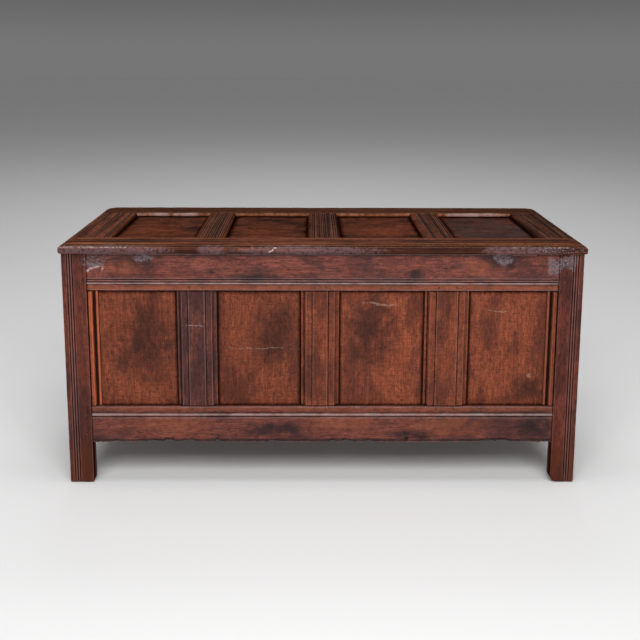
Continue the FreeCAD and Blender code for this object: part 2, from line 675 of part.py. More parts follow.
def join_lid_bar(name, bar, opening):
    """Tenon a lid bar into both rails, and return its pegs."""
    a = grown(bar, -LID_TENON_SIDE, -LID_TENON_SIDE)
    d = (LID_TENON_FRONT, LID_TENON_FRONT + LID_TENON_THICKNESS)
    pegs = []
    for rail, end, away in (("lid_front_rail", opening[0], -1), ("lid_back_rail", opening[1], 1)):
        reach = sorted((end, end + away * LID_TENON_LENGTH))
        pocket = sorted((end, end + away * (LID_TENON_LENGTH + MORTISE_SPARE)))
        nodes[name] = nodes[name].fuse(LID.block(a, reach, d)).removeSplitter()
        carve(rail, LID.block(grown(a, TENON_FIT, TENON_FIT), grown(pocket, TENON_FIT, TENON_FIT),
                              grown(d, TENON_FIT, TENON_FIT)))
        for place in (a[0] + LID_PEG_INSET, a[1] - LID_PEG_INSET):
            b = end + away * (LID_PEG_SETBACK + reeds_width(LID_EDGE_REED_WIDTH, 1))
            pegs.append(LID.rod(place, b, (-PEG_PROUD, LID_PEG_DEPTH), PEG_DIAMETER))
            hole = LID.rod(place, b, (-CUT_OVERRUN, LID_PEG_DEPTH), PEG_DIAMETER + 2 * PEG_FIT)
            carve(rail, hole)
            carve(name, hole)
    return pegs


def strap(side, a, start, tip, turn):
    """Tapering strap from a square end to a round penny at its tip, its back on the surface of a side."""
    penny = tip - turn * PENNY_DIAMETER / 2
    shoulder = start + turn * 2 * EYE_RADIUS
    half = line((STRAP_WIDTH / 2, start), (STRAP_WIDTH / 2, shoulder), (STRAP_TIP_WIDTH / 2, penny))
    path = half + flipped(mirrored(half))
    face = section_face(path, lambda s, b: side.point(a + s, b, -STRAP_THICKNESS))
    disc = side.rod(a, penny, (-STRAP_THICKNESS, 0), PENNY_DIAMETER)
    return face.extrude(side.inward * STRAP_THICKNESS).fuse(disc)


def eye_rod(a, diameter):
    """Round rod along the hinge axis, over the range a."""
    return Part.makeCylinder(diameter / 2, a[1] - a[0], Vector(a[0], HINGE_Y, HINGE_Z), AXIS_X)


def eye(a):
    """Rolled eye of a strap over the range a, bored for the pin."""
    return eye_rod(a, 2 * EYE_RADIUS).cut(eye_rod(a, PIN_DIAMETER + 2 * PIN_FIT))


def drive_nails(side, owner, a, rows, woods):
    """Nails through a strap into the wood behind it."""
    nails = []
    for row in rows:
        nails.append(nail(side, a, row, -STRAP_THICKNESS))
        hole = nail_hole(side, a, row, -STRAP_THICKNESS)
        for name in (owner,) + woods:
            carve(name, hole)
    return nails


def make_hinge(label, a, muntin):
    """One strap hinge: a lid strap with the middle eye, a back strap with two eyes, and the pin."""
    strap_span = (a - STRAP_WIDTH / 2, a + STRAP_WIDTH / 2)
    eye_span = (a - KNUCKLE_WIDTH / 2, a + KNUCKLE_WIDTH / 2)
    slot_span = grown(eye_span, KNUCKLE_GAP, KNUCKLE_GAP)
    lid_name = f"{label}_hinge_lid_strap"
    back_name = f"{label}_hinge_back_strap"
    lid_tip = BACK_Y - LID_STRAP_LENGTH
    lap = STRAP_THICKNESS / 2
    neck = LID_UNDERSIDE.block(eye_span, (BACK_Y, HINGE_Y - lap), (-STRAP_THICKNESS, 0))
    plate = strap(LID_UNDERSIDE, a, BACK_Y, lid_tip, -1)
    nodes[lid_name] = plate.fuse([neck, eye(eye_span)]).removeSplitter()
    back_tip = HINGE_Z - BACK_STRAP_LENGTH
    plate = strap(BACK, a, HINGE_Z - lap, back_tip, -1)
    eyes = [eye((strap_span[0], slot_span[0])), eye((slot_span[1], strap_span[1]))]
    sweep = EYE_RADIUS + EYE_GAP
    slot = BACK.block(slot_span, (HINGE_Z - sweep, HINGE_Z + sweep), (-2 * sweep, CUT_OVERRUN))
    nodes[back_name] = plate.cut(slot).fuse(eyes).removeSplitter()
    notch = grown(strap_span, NOTCH_PLAY, NOTCH_PLAY)
    carve("back_top_rail", LID_UNDERSIDE.block(notch, (BACK_Y - RAIL_DEPTH, BACK_Y),
                                               (-STRAP_THICKNESS - NOTCH_PLAY, 0)))
    lid_start = BACK_Y - RAIL_DEPTH - NAIL_EDGE
    lid_end = lid_tip + PENNY_DIAMETER / 2
    lid_rows = [lid_start + (lid_end - lid_start) * share for share in LID_NAIL_SHARES + (1.0,)]
    back_start = HINGE_Z - EYE_RADIUS - NAIL_EDGE
    back_end = back_tip + PENNY_DIAMETER / 2
    back_rows = [back_start + (back_end - back_start) * share for share in BACK_NAIL_SHARES + (1.0,)]
    lid_nails = drive_nails(LID_UNDERSIDE, lid_name, a, lid_rows, ("lid_back_rail", muntin))
    back_nails = drive_nails(BACK, back_name, a, back_rows, ("back_top_rail",))
    return lid_nails, back_nails, eye_rod(grown(strap_span, PIN_END, PIN_END), PIN_DIAMETER)


def make_hinges(bars):
    """A hinge under the left and under the right lid muntin."""
    lid_nails = []
    back_nails = []
    pins = []
    for label, bar in (("left", bars[0]), ("right", bars[-1])):
        lid, back, pin = make_hinge(label, (bar[0] + bar[1]) / 2, f"lid_{label}_muntin")
        lid_nails += lid
        back_nails += back
        pins.append(pin)
    nodes["lid_strap_nails"] = Part.makeCompound(lid_nails)
    nodes["back_strap_nails"] = Part.makeCompound(back_nails)
    nodes["hinge_pins"] = Part.makeCompound(pins)


def main():
    make_posts()
    nodes["front_pegs"] = Part.makeCompound(make_front())
    pegs = make_back() + make_end("left", LEFT_END) + make_end("right", RIGHT_END)
    nodes["end_and_back_pegs"] = Part.makeCompound(pegs)
    make_bottom()
    make_hinges(make_lid())
    os.makedirs("parts", exist_ok=True)
    for name, shape in nodes.items():
        shape.exportStep(f"parts/{name}.step")
        print(f"{name}: {len(shape.Solids)} solids, {shape.Volume:.0f} mm3, valid {shape.isValid()}")


main()
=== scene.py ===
"""A joined oak chest with a panelled lid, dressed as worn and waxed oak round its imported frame."""
import json
import logging
import math
import random
from dataclasses import astuple, dataclass, replace
from enum import Enum
from functools import partial

import bmesh
import bpy
import numpy as np
from bpy.types import Material, Mesh, Node, NodeSocket, NodeTree, Object
from mathutils import Matrix, Vector


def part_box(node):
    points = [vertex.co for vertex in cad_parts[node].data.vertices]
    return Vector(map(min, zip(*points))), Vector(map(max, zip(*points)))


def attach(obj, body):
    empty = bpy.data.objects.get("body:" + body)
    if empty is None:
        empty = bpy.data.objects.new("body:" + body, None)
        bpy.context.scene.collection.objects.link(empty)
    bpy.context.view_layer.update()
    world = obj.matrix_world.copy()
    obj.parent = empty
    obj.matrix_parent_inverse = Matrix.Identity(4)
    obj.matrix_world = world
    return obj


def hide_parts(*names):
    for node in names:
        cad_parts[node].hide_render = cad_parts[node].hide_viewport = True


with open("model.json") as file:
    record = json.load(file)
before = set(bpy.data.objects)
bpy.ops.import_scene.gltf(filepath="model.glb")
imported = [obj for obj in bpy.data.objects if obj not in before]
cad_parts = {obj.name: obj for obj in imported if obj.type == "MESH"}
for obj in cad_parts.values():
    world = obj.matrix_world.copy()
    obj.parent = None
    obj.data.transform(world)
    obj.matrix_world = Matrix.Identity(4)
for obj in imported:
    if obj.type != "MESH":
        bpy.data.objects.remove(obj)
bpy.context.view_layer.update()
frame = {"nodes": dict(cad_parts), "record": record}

LOG = logging.getLogger("oak_chest")
MM = 0.001

# Places that recur in the names of nodes
SIDES = ("left", "right")
PANEL_PLACES = ("left", "centre_left", "centre_right", "right")

# Marks that the meshes carry for their materials
GRAIN = "grain"
ARRIS = "arris"
CREST = "crest"
WORN = "worn"
# Dirt, with painted shade in the hollows and grooves, on the flanks and at the panel edges
DIRT_AND_SHADE = "dirt_and_shade"
DRY = "dry"
TONE = "tone"
RIM = "rim"

# The way that a peg or a nail points, which its mesh carries for its tree
OUT = "out"

# Where posts are cut, through their legs, and the bars of the lid, through its panels
LEG_STATION = 60 * MM
LID_STATION = -60 * MM

# How a section is read from a node and drawn again
DOUBLES = 0.001 * MM
ON_LINE = 0.03 * MM
SHARP_TURN = math.radians(28)
MOST_TURN = 2.8
CORNER_SHARES = (0.0, 0.34, 0.66, 1.0)
CORNER_REACH_SHARE = 0.42
END_SHARES = (0.0, 0.3, 1.0)
PLACE_DIGITS = 7
SHADE_ANGLE = math.radians(38)

# Probes lie on a spiral, so that they cover a disc evenly
PROBES = 64
PROBE_TURN = math.pi * (3 - math.sqrt(5))

# The share of wood round a point at which a mark starts, and at which it is full
ARRIS_SHARES = (0.47, 0.27)
CREST_SHARES = (0.488, 0.408)
GROOVE_SHARES = (0.54, 0.68)
HOLLOW_SHARES = (0.51, 0.65)
FLANK_FULL_SHARE = 0.375

# How worm and damp eat a lower edge: fine crumbling, and bites among it
CRUMB_LENGTH = 7 * MM
CRUMB_SHARE = 0.3
BITE_SPACING = 24 * MM
BITE_HALF_MM = (4, 40)
BITE_STRENGTH = (0.1, 1.0)
BITE_FULL_SHARE = 0.4
BITE_HEIGHT = 18 * MM

# How the patterns of one board differ from those of the next
SEED_SPAN = 90
GRAIN_SHIFT = 4
TIMBER_LEAN = 0.012
PANEL_LEAN = 0.02

# How far a cutter stands out past the wood that it cuts
OVERSHOOT = 10 * MM

# Kinds of node that recur
MATH = "ShaderNodeMath"
VECTOR_MATH = "ShaderNodeVectorMath"
MAP_RANGE = "ShaderNodeMapRange"
NOISE = "ShaderNodeTexNoise"

# Sockets that share their name with others, by index: of a colour mix and of a random number
MIX_UNDER, MIX_OVER, MIX_RESULT = 6, 7, 2
RANDOM_LOW, RANDOM_HIGH, RANDOM_RESULT = 2, 3, 1


def linear(colour: str) -> tuple[float, float, float, float]:
    """Turn an sRGB colour into linear light.

    Args:
        colour: A hash and six hex digits.

    Returns:
        Red, green and blue, with a full alpha.
    """
    channels = [int(colour[place:place + 2], 16) / 255 for place in (1, 3, 5)]
    light = [c / 12.92 if c <= 0.04045 else ((c + 0.055) / 1.055) ** 2.4 for c in channels]
    return (*light, 1.0)


def add_node(tree: NodeTree, kind: str, feeds: dict | None = None, **settings: object) -> Node:
    """Add a node, set its properties and feed its sockets.

    Args:
        tree: The tree that the node joins.
        kind: The node's type.
        feeds: A value, socket or node for each input, by the input's name or index.
        **settings: The node's properties.

    Returns:
        The new node.
    """
    node = tree.nodes.new(kind)
    for name, value in settings.items():
        setattr(node, name, value)
    for key, value in (feeds or {}).items():
        source = value.outputs[0] if isinstance(value, Node) else value
        if isinstance(source, NodeSocket):
            tree.links.new(source, node.inputs[key])
        else:
            node.inputs[key].default_value = source
    return node


class Axis(Enum):
    """A direction of the chest: along it, front to back, or upright."""

    X = 0
    Y = 1
    Z = 2

    @property
    def plane(self) -> tuple[int, int]:
        """The two other directions, in turning order."""
        return (self.value + 1) % 3, (self.value + 2) % 3


class Body(Enum):
    """A body of the frame: the case stands still, and the lid turns on its hinges."""

    CASE = "case"
    LID = "lid"


class Slot(Enum):
    """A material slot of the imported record."""

    CASE = "oak_case"
    SLIPS = "oak_slips"
    BACK = "oak_back_and_bottom"
    LID = "oak_lid"
    PEGS = "oak_pegs"
    IRON = "wrought_iron"


@dataclass(frozen=True)
class Wear:
    """Sizes of the wear on a timber, in metres and in the order of the inputs of its tree."""

    waviness: float
    wave_length: float
    arris_loss: float
    loss_length: float
    nick_depth: float
    nick_length: float


class Exposure(Enum):
    """How a timber has fared: the sizes of its wear."""

    SHELTERED = Wear(waviness=0.35 * MM, wave_length=90 * MM, arris_loss=0.5 * MM, loss_length=40 * MM,
                     nick_depth=0.5 * MM, nick_length=12 * MM)
    HANDLED = Wear(waviness=0.5 * MM, wave_length=80 * MM, arris_loss=1.1 * MM, loss_length=34 * MM,
                   nick_depth=1.3 * MM, nick_length=13 * MM)
    BATTERED = Wear(waviness=0.7 * MM, wave_length=60 * MM, arris_loss=1.9 * MM, loss_length=26 * MM,
                    nick_depth=2.6 * MM, nick_length=14 * MM)
    RIVEN = Wear(waviness=1.3 * MM, wave_length=120 * MM, arris_loss=0.0, loss_length=30 * MM,
                 nick_depth=0.0, nick_length=12 * MM)


@dataclass(frozen=True)
class Layer:
    """What one mask does to a surface.

    It lays its share of a colour over the surface, and adds to the roughness, the height and the shine.
    """

    mask: NodeSocket
    colour: str
    share: float
    rough: float = 0.0
    height: float = 0.0
    shine: float = 0.0


def lay_up(tree: NodeTree, colour: object, rough: float, shine: float, layers: list[Layer]) -> dict:
    """Lay masks over a ground one after the other.

    Args:
        tree: The material's tree.
        colour: The ground's colour, as a value or a socket.
        rough: The ground's roughness.
        shine: The ground's specular level.
        layers: The masks, the lowest first.

    Returns:
        Sockets or numbers for the colour, and for the roughness, the height and the shine.
    """
    sums = {"rough": rough, "height": 0.0, "shine": shine}
    for layer in layers:
        strength = add_node(tree, MATH, {0: layer.mask, 1: layer.share}, operation="MULTIPLY")
        mix = {0: strength, MIX_UNDER: colour, MIX_OVER: linear(layer.colour)}
        colour = add_node(tree, "ShaderNodeMix", mix, data_type="RGBA").outputs[MIX_RESULT]
        for name, total in sums.items():
            part = getattr(layer, name)
            if part:
                more = {0: layer.mask, 1: part, 2: total}
                sums[name] = add_node(tree, MATH, more, operation="MULTIPLY_ADD").outputs[0]
    return {"colour": colour, **sums}


@dataclass(frozen=True)
class Figure:
    """One kind of mark in a surface, by its size along and across the grain, in metres.

    The noise that draws it starts to show at low and shows in full at high.
    """

    along: float
    across: float
    detail: float = 3.0
    low: float = 0.35
    high: float = 0.65
    roughness: float = 0.6

    def noise(self, tree: NodeTree, coords: NodeSocket) -> Node:
        """Noise as long and as wide as the marks.

        Args:
            tree: The material's tree.
            coords: Coordinates along and across the grain.

        Returns:
            The noise node.
        """
        scale = (1 / self.along, 1 / self.across, 1 / self.across)
        stretched = add_node(tree, VECTOR_MATH, {0: coords, 1: scale}, operation="MULTIPLY")
        return add_node(tree, NOISE, {"Vector": stretched, "Scale": 1.0, "Detail": self.detail,
                                      "Roughness": self.roughness})

    def draw(self, tree: NodeTree, coords: NodeSocket) -> NodeSocket:
        """Draw the marks from nought to one.

        Args:
            tree: The material's tree.
            coords: Coordinates along and across the grain.

        Returns:
            The socket that gives the marks.
        """
        ease = {"Value": self.noise(tree, coords), "From Min": self.low, "From Max": self.high}
        return add_node(tree, MAP_RANGE, ease, interpolation_type="SMOOTHSTEP").outputs[0]

    def layer(self, tree: NodeTree, coords: NodeSocket, colour: str, share: float, **adds: float) -> Layer:
        """A layer of the marks, with what it adds to the roughness and the height."""
        return Layer(self.draw(tree, coords), colour, share, **adds)


@dataclass(frozen=True)
class Spot:
    """A place on the chest where a mark lies: its centre and half sizes in metres, its tilt in degrees."""

    centre: tuple[float, float, float]
    reach: tuple[float, float, float]
    tilt: float = 0.0

    def draw(self, tree: NodeTree, coords: NodeSocket) -> NodeSocket:
        """Draw the spot, from one at its centre to nought at its rim.

        Args:
            tree: The material's tree.
            coords: Object coordinates.

        Returns:
            The socket that gives the spot.
        """
        turn = (0.0, math.radians(self.tilt), 0.0)
        lie = {"Vector": coords, "Location": self.centre, "Rotation": turn, "Scale": self.reach}
        local = add_node(tree, "ShaderNodeMapping", lie, vector_type="TEXTURE")
        ball = add_node(tree, "ShaderNodeTexGradient", {"Vector": local}, gradient_type="SPHERICAL")
        return ball.outputs["Fac"]


def spots_mm(*rows: tuple) -> tuple[Spot, ...]:
    """Spots from rows of a centre and half sizes in millimetres, and of a tilt where there is one."""
    return tuple(Spot(tuple(place * MM for place in centre), tuple(half * MM for half in reach), *tilt)
                 for centre, reach, *tilt in rows)


@dataclass(frozen=True)
class Ground:
    """A material's tree with what its patches follow: object coordinates, and one on the waxed faces."""

    tree: NodeTree
    place: NodeSocket
    waxed: NodeSocket


@dataclass(frozen=True)
class Patch:
    """A kind of ragged patch, which only waxed faces show.

    It starts to show at low and shows in full at high. Specks break it up, and it wanders from its outline,
    both in metres. Crispness is how quickly it fades in from its rim.
    """

    low: float
    high: float
    speck: float
    wander: float = 0.0
    crispness: float = 1.0
    swirl: float = 34 * MM

    def draw(self, ground: Ground, spots: tuple[Spot, ...]) -> NodeSocket:
        """Draw patches at given places, from nought to one.

        Args:
            ground: What the patches follow.
            spots: The places.

        Returns:
            The socket that gives the patches.
        """
        tree, place = ground.tree, ground.place
        add = partial(add_node, tree)
        eddy = add(NOISE, {"Vector": place, "Scale": 1 / self.swirl, "Detail": 3.0})
        drift = {0: eddy.outputs["Color"], 1: (2 * self.wander,) * 3, 2: (-self.wander,) * 3}
        strayed = add(VECTOR_MATH, drift, operation="MULTIPLY_ADD")
        near = add(VECTOR_MATH, {0: place, 1: strayed}, operation="ADD").outputs[0]
        patches = spots[0].draw(tree, near)
        for spot in spots[1:]:
            both = {0: patches, 1: spot.draw(tree, near)}
            patches = add(MATH, both, operation="MAXIMUM").outputs[0]
        crisp = add(MATH, {0: patches, 1: self.crispness}, operation="MULTIPLY", use_clamp=True)
        lifted = add(MATH, {0: crisp, 1: 0.5}, operation="POWER")
        shown = add(MATH, {0: lifted, 1: ground.waxed}, operation="MULTIPLY")
        dust = add(NOISE, {"Vector": place, "Scale": 1 / self.speck, "Detail": 4.0})
        speckled = add(MATH, {0: dust, 1: shown}, operation="MULTIPLY")
        ease = {"Value": speckled, "From Min": self.low, "From Max": self.high}
        return add(MAP_RANGE, ease, interpolation_type="SMOOTHSTEP").outputs[0]

    def layers(self, ground: Ground, spots: tuple[Spot, ...], colour: str, share: float,
               **adds: float) -> list[Layer]:
        """The layer of patches at given places, or none where no place is given."""
        return [Layer(self.draw(ground, spots), colour, share, **adds)] if spots else []


def new_material(name: str) -> tuple[Material, NodeTree, NodeSocket]:
    """Start a material.

    Args:
        name: The material's name.

    Returns:
        The material, its tree and its object coordinates.
    """
    material = bpy.data.materials.new(name)
    material.use_nodes = True
    tree = material.node_tree
    tree.nodes.clear()
    return material, tree, add_node(tree, "ShaderNodeTexCoord").outputs["Object"]


def close_surface(tree: NodeTree, colour: object, rough: object, height: object, shine: object,
                  bump: float, metallic: float = 0.0) -> None:
    """End a material in its shader.

    Args:
        tree: The material's tree.
        colour: The base colour.
        rough: The roughness.
        height: The height that the bump follows.
        shine: The specular level.
        bump: How deep a height of one is, in metres.
        metallic: How far the surface is metal.
    """
    normal = add_node(tree, "ShaderNodeBump", {"Height": height, "Strength": 1.0, "Distance": bump})
    shader = add_node(tree, "ShaderNodeBsdfPrincipled",
                      {"Base Color": colour, "Roughness": rough, "Normal": normal,
                       "Specular IOR Level": shine, "Metallic": metallic})
    add_node(tree, "ShaderNodeOutputMaterial", {"Surface": shader})


# Figure of old oak. Pores are under half a millimetre wide, and are drawn coarser so that they show.
STREAK = Figure(120 * MM, 4.6 * MM, 5.0, 0.40, 0.62)
FINE_STREAK = Figure(32 * MM, 2.6 * MM, 2.5, 0.42, 0.60)
CLOUD = Figure(130 * MM, 60 * MM, 4.0, 0.44, 0.64)
MOTTLE = Figure(20 * MM, 10 * MM, 5.0, 0.44, 0.62)
FLECK = Figure(3.2 * MM, 13 * MM, 2.0, 0.50, 0.64)
PLANE_MARK = Figure(3.0 * MM, 90 * MM, 2.0, 0.46, 0.60)
PORE = Figure(12 * MM, 2.4 * MM, 1.0, 0.56, 0.68)
DENT = Figure(20 * MM, 14 * MM, 3.0, 0.3, 0.7)
SHEEN = Figure(60 * MM, 34 * MM, 3.0, 0.38, 0.62)
BAND = Figure(1500 * MM, 15 * MM, 2.0, 0.45, 0.56)

# How the edge of a mark breaks up along the grain
BREAK = Figure(220 * MM, 9 * MM, 4.0)
BREAK_SWING = 1.1
BREAK_LEAST = 0.45
BREAK_START = 0.1

# Marks of other surfaces: the ends of pegs, forged iron and paper
PEG_SPECK = Figure(1.4 * MM, 1.4 * MM)
HAMMER_MARK = Figure(11 * MM, 11 * MM, 2.0)
RUST_BLOOM = Figure(16 * MM, 16 * MM, 5.0, 0.48, 0.66)
RUST_PIT = Figure(2.2 * MM, 2.2 * MM, 3.0, 0.55, 0.75)
PAPER_TOOTH = Figure(1.5 * MM, 1.5 * MM)

# Patches of waxed oak
STAIN_AND_SHADOW = Patch(0.08, 0.5, 24 * MM)
WARMTH = Patch(0.1, 0.6, 14 * MM)
PALE_WEAR_AND_SHEEN = Patch(0.27, 0.56, 8 * MM, 9 * MM, 2.0)
BEAD_HIGHLIGHT = Patch(0.1, 0.55, 30 * MM)
PIT = Patch(0.40, 0.62, 6.0 * MM, 12 * MM, 1.7)
GLINT = Patch(0.50, 0.72, 3.2 * MM, 12 * MM, 1.7)
SCRATCH = Patch(0.25, 0.5, 5 * MM, 9 * MM)


@dataclass(frozen=True)
class OakFinish:
    """Oak gone red-brown under centuries of wax: dirt and painted shade in the hollows, worn arrises with
    painted highlights.

    The wax gives a broad satin sheen and the open pores break it. Dust and soot darken what a cloth misses,
    and painted shade darkens the hollows, the flanks and the panel edges where shade falls.
    Colours come first, then the share of each, then the surface, and last the places of its patches.
    """

    name: str
    pale: str
    deep: str
    cloud: str
    fleck: str = "#3A1A10"
    pore: str = "#1E0E09"
    rubbed_and_highlight: str = "#7A4A3A"
    dirt_and_shade: str = "#0E0706"
    dry: str = "#7E5E48"
    glint: str = "#BDB2B6"
    pit: str = "#2A2026"
    stain_and_shadow: str = "#1F100D"
    warm: str = "#9A5230"
    pale_wear_and_sheen: str = "#7C6460"
    gleam: str = "#98837F"
    scratch: str = "#A98878"
    streak_share: float = 0.6
    fine_share: float = 0.5
    mottle_share: float = 0.3
    cloud_share: float = 0.6
    fleck_share: float = 0.3
    plane_share: float = 0.0
    band_share: float = 0.0
    pore_share: float = 0.55
    dirt_and_shade_share: float = 0.95
    rubbed_share: float = 0.7
    crest_share: float = 0.3
    stain_and_shadow_share: float = 0.65
    warm_share: float = 0.4
    pale_wear_and_sheen_share: float = 0.75
    highlight_share: float = 0.6
    pit_share: float = 0.55
    glint_share: float = 0.55
    scratch_share: float = 0.4
    rough: float = 0.42
    shine: float = 0.25
    polish: float = 0.2
    gloss: float = 0.4
    bump: float = 0.45 * MM
    pale_wear_and_sheen_patch: Patch = PALE_WEAR_AND_SHEEN
    scratching: Patch = SCRATCH
    stains_and_shadows: tuple[Spot, ...] = ()
    warmed: tuple[Spot, ...] = ()
    pale_wear_and_sheen_spots: tuple[Spot, ...] = ()
    highlights: tuple[Spot, ...] = ()
    pitted: tuple[Spot, ...] = ()
    scratches: tuple[Spot, ...] = ()

    def make(self) -> Material:
        """Build the material, with its layers from the lowest to the highest.

        Returns:
            The material, which reads the marks of the timber that it is put on.
        """
        material, tree, place = new_material(self.name)
        marks = {name: add_node(tree, "ShaderNodeAttribute", attribute_name=name).outputs["Fac"]
                 for name in (CREST, WORN, DIRT_AND_SHADE, DRY, TONE)}
        grain = add_node(tree, "ShaderNodeAttribute", attribute_name=GRAIN).outputs["Vector"]
        waxed = add_node(tree, MATH, {0: 1.0, 1: marks[DRY]}, operation="SUBTRACT").outputs[0]
        ground = Ground(tree, place, waxed)
        layers = [
            Layer(marks[DRY], self.dry, 0.9, rough=0.2, shine=-0.15),
            STREAK.layer(tree, grain, self.deep, self.streak_share, rough=0.03, height=0.3),
            FINE_STREAK.layer(tree, grain, self.deep, self.fine_share, rough=0.04, height=-0.45),
            MOTTLE.layer(tree, grain, self.cloud, self.mottle_share, rough=0.05, height=-0.3),
            CLOUD.layer(tree, grain, self.cloud, self.cloud_share, rough=0.04),
            FLECK.layer(tree, grain, self.fleck, self.fleck_share, rough=-0.05, height=0.25),
            PLANE_MARK.layer(tree, grain, self.deep, self.plane_share, height=-0.2),
            PORE.layer(tree, grain, self.pore, self.pore_share, rough=0.1, height=-0.7),
            BAND.layer(tree, grain, self.deep, self.band_share, rough=0.05, height=-0.3),
            DENT.layer(tree, grain, self.deep, 0.0, height=1.3),
            SHEEN.layer(tree, grain, self.deep, 0.1, rough=0.14),
            Layer(marks[DRY], self.dry, 0.5),
            # Stains, and painted shadows under the lid's edge and round dents
            *STAIN_AND_SHADOW.layers(ground, self.stains_and_shadows, self.stain_and_shadow, self.stain_and_shadow_share),
            *WARMTH.layers(ground, self.warmed, self.warm, self.warm_share),
            # Crests: a pale colour that is partly rubbed wear and partly a painted highlight where light
            # catches beads and reeds
            Layer(self._broken(tree, grain, marks[CREST], 0.9), self.rubbed_and_highlight, self.crest_share,
                  rough=-self.polish, shine=self.gloss),
            # Worn arrises, in the same pale colour
            Layer(self._broken(tree, grain, marks[WORN], 0.8), self.rubbed_and_highlight, self.rubbed_share),
            # Pale patches: scuffed wear, and painted sheen and glare
            *self.pale_wear_and_sheen_patch.layers(ground, self.pale_wear_and_sheen_spots, self.pale_wear_and_sheen, self.pale_wear_and_sheen_share, rough=-0.05),
            # Painted highlights along the rails' reeds and bead
            *BEAD_HIGHLIGHT.layers(ground, self.highlights, self.gleam, self.highlight_share, rough=-0.1, shine=0.15),
            # Dirt in joints and hollows, with painted shade: darkens the grooves, coves, flanks and panel
            # edges where shade falls
            Layer(self._broken(tree, grain, marks[DIRT_AND_SHADE], 0.6), self.dirt_and_shade, self.dirt_and_shade_share, rough=0.2,
                  shine=-0.2),
            *PIT.layers(ground, self.pitted, self.pit, self.pit_share, rough=0.05, height=-1.5),
            *GLINT.layers(ground, self.pitted, self.glint, self.glint_share, rough=-0.1, height=1.0,
                          shine=0.2),
            *self.scratching.layers(ground, self.scratches, self.scratch, self.scratch_share, height=-0.6),
        ]
        sums = lay_up(tree, linear(self.pale), self.rough, self.shine, layers)
        toned = {0: sums["colour"], "Scale": marks[TONE]}
        sums["colour"] = add_node(tree, VECTOR_MATH, toned, operation="SCALE").outputs[0]
        close_surface(tree, **sums, bump=self.bump)
        return material

    @staticmethod
    def _broken(tree: NodeTree, grain: NodeSocket, mark: NodeSocket, full: float) -> NodeSocket:
        """A mark with its edge broken up along the grain.

        Args:
            tree: The material's tree.
            grain: Coordinates along and across the grain.
            mark: The mark, from nought to one.
            full: Where it shows in full.

        Returns:
            The socket that gives the broken mark.
        """
        sway = {0: BREAK.noise(tree, grain), 1: BREAK_SWING, 2: BREAK_LEAST}
        swing = add_node(tree, MATH, sway, operation="MULTIPLY_ADD")
        edge = add_node(tree, MATH, {0: mark, 1: swing}, operation="MULTIPLY")
        ease = {"Value": edge, "From Min": BREAK_START, "From Max": full}
        return add_node(tree, MAP_RANGE, ease, interpolation_type="SMOOTHSTEP").outputs[0]


@dataclass(frozen=True)
class PegFinish:
    """Cleft oak pegs, cut flush and shrunk back: dark end grain with a black ring, where the wax gathers and
    as painted shade of the gap round each peg.
    """

    name: str = "oak_peg_end_grain"
    wood: str = "#6C4130"
    deep: str = "#402016"
    ring: str = "#100806"
    rough: float = 0.5
    shine: float = 0.25
    bump: float = 0.3 * MM

    def make(self) -> Material:
        """Build the material.

        Returns:
            The material, which reads how near the rim of a peg lies.
        """
        material, tree, place = new_material(self.name)
        rim = add_node(tree, "ShaderNodeAttribute", attribute_name=RIM).outputs["Fac"]
        layers = [
            PEG_SPECK.layer(tree, place, self.deep, 0.8, rough=0.1, height=-0.5),
            # Black rim: gathered wax, and painted shade of the gap round the peg
            Layer(rim, self.ring, 0.9, rough=0.2),
        ]
        sums = lay_up(tree, linear(self.wood), self.rough, self.shine, layers)
        close_surface(tree, **sums, bump=self.bump)
        return material


@dataclass(frozen=True)
class IronFinish:
    """Forged iron, blackened by the fire and bloomed with rust: dull, pitted, with brown patches."""

    name: str = "forged_iron_rusted"
    scale: str = "#2B2725"
    rust: str = "#5A3320"
    bright: str = "#4A4644"
    rough: float = 0.55
    shine: float = 0.4
    bump: float = 0.4 * MM
    metallic: float = 0.7

    def make(self) -> Material:
        """Build the material.

        Returns:
            The material.
        """
        material, tree, place = new_material(self.name)
        layers = [
            HAMMER_MARK.layer(tree, place, self.bright, 0.5, rough=-0.08, height=0.8),
            RUST_BLOOM.layer(tree, place, self.rust, 0.75, rough=0.25, height=0.15),
            RUST_PIT.layer(tree, place, self.rust, 0.5, rough=0.15, height=-0.6),
        ]
        sums = lay_up(tree, linear(self.scale), self.rough, self.shine, layers)
        close_surface(tree, **sums, bump=self.bump, metallic=self.metallic)
        return material


# Half the length, in millimetres, of a mark that runs the whole length of a rail
WHOLE = 3200

# Faces that most marks lie on, by their place from front to back in millimetres
RAIL_FACE = -275
NOSING_FACE = -290
PANEL_FACE = -259

# Where the photograph shows marks: their centres and half sizes in millimetres, and tilts in degrees
CASE_PITS = spots_mm(
    ((-586, RAIL_FACE, 608), (62, 40, 25)),
    ((612, RAIL_FACE, 598), (42, 40, 30)),
)
# Pale patches: the first two rows paint the sheen on the scooped dents, the rest are scuffed wear at the
# joints
CASE_PALE_WEAR_AND_SHEEN = spots_mm(
    ((-461, -273, 614), (32, 40, 14)),
    ((462, -273, 611), (37, 40, 16)),
    ((588, RAIL_FACE, 596), (22, 40, 34)),
    ((604, RAIL_FACE, 586), (15, 40, 24)),
    ((622, RAIL_FACE, 604), (20, 40, 24)),
    ((641, RAIL_FACE, 604), (16, 40, 34)),
    ((-590, RAIL_FACE, 594), (34, 40, 9)),
)
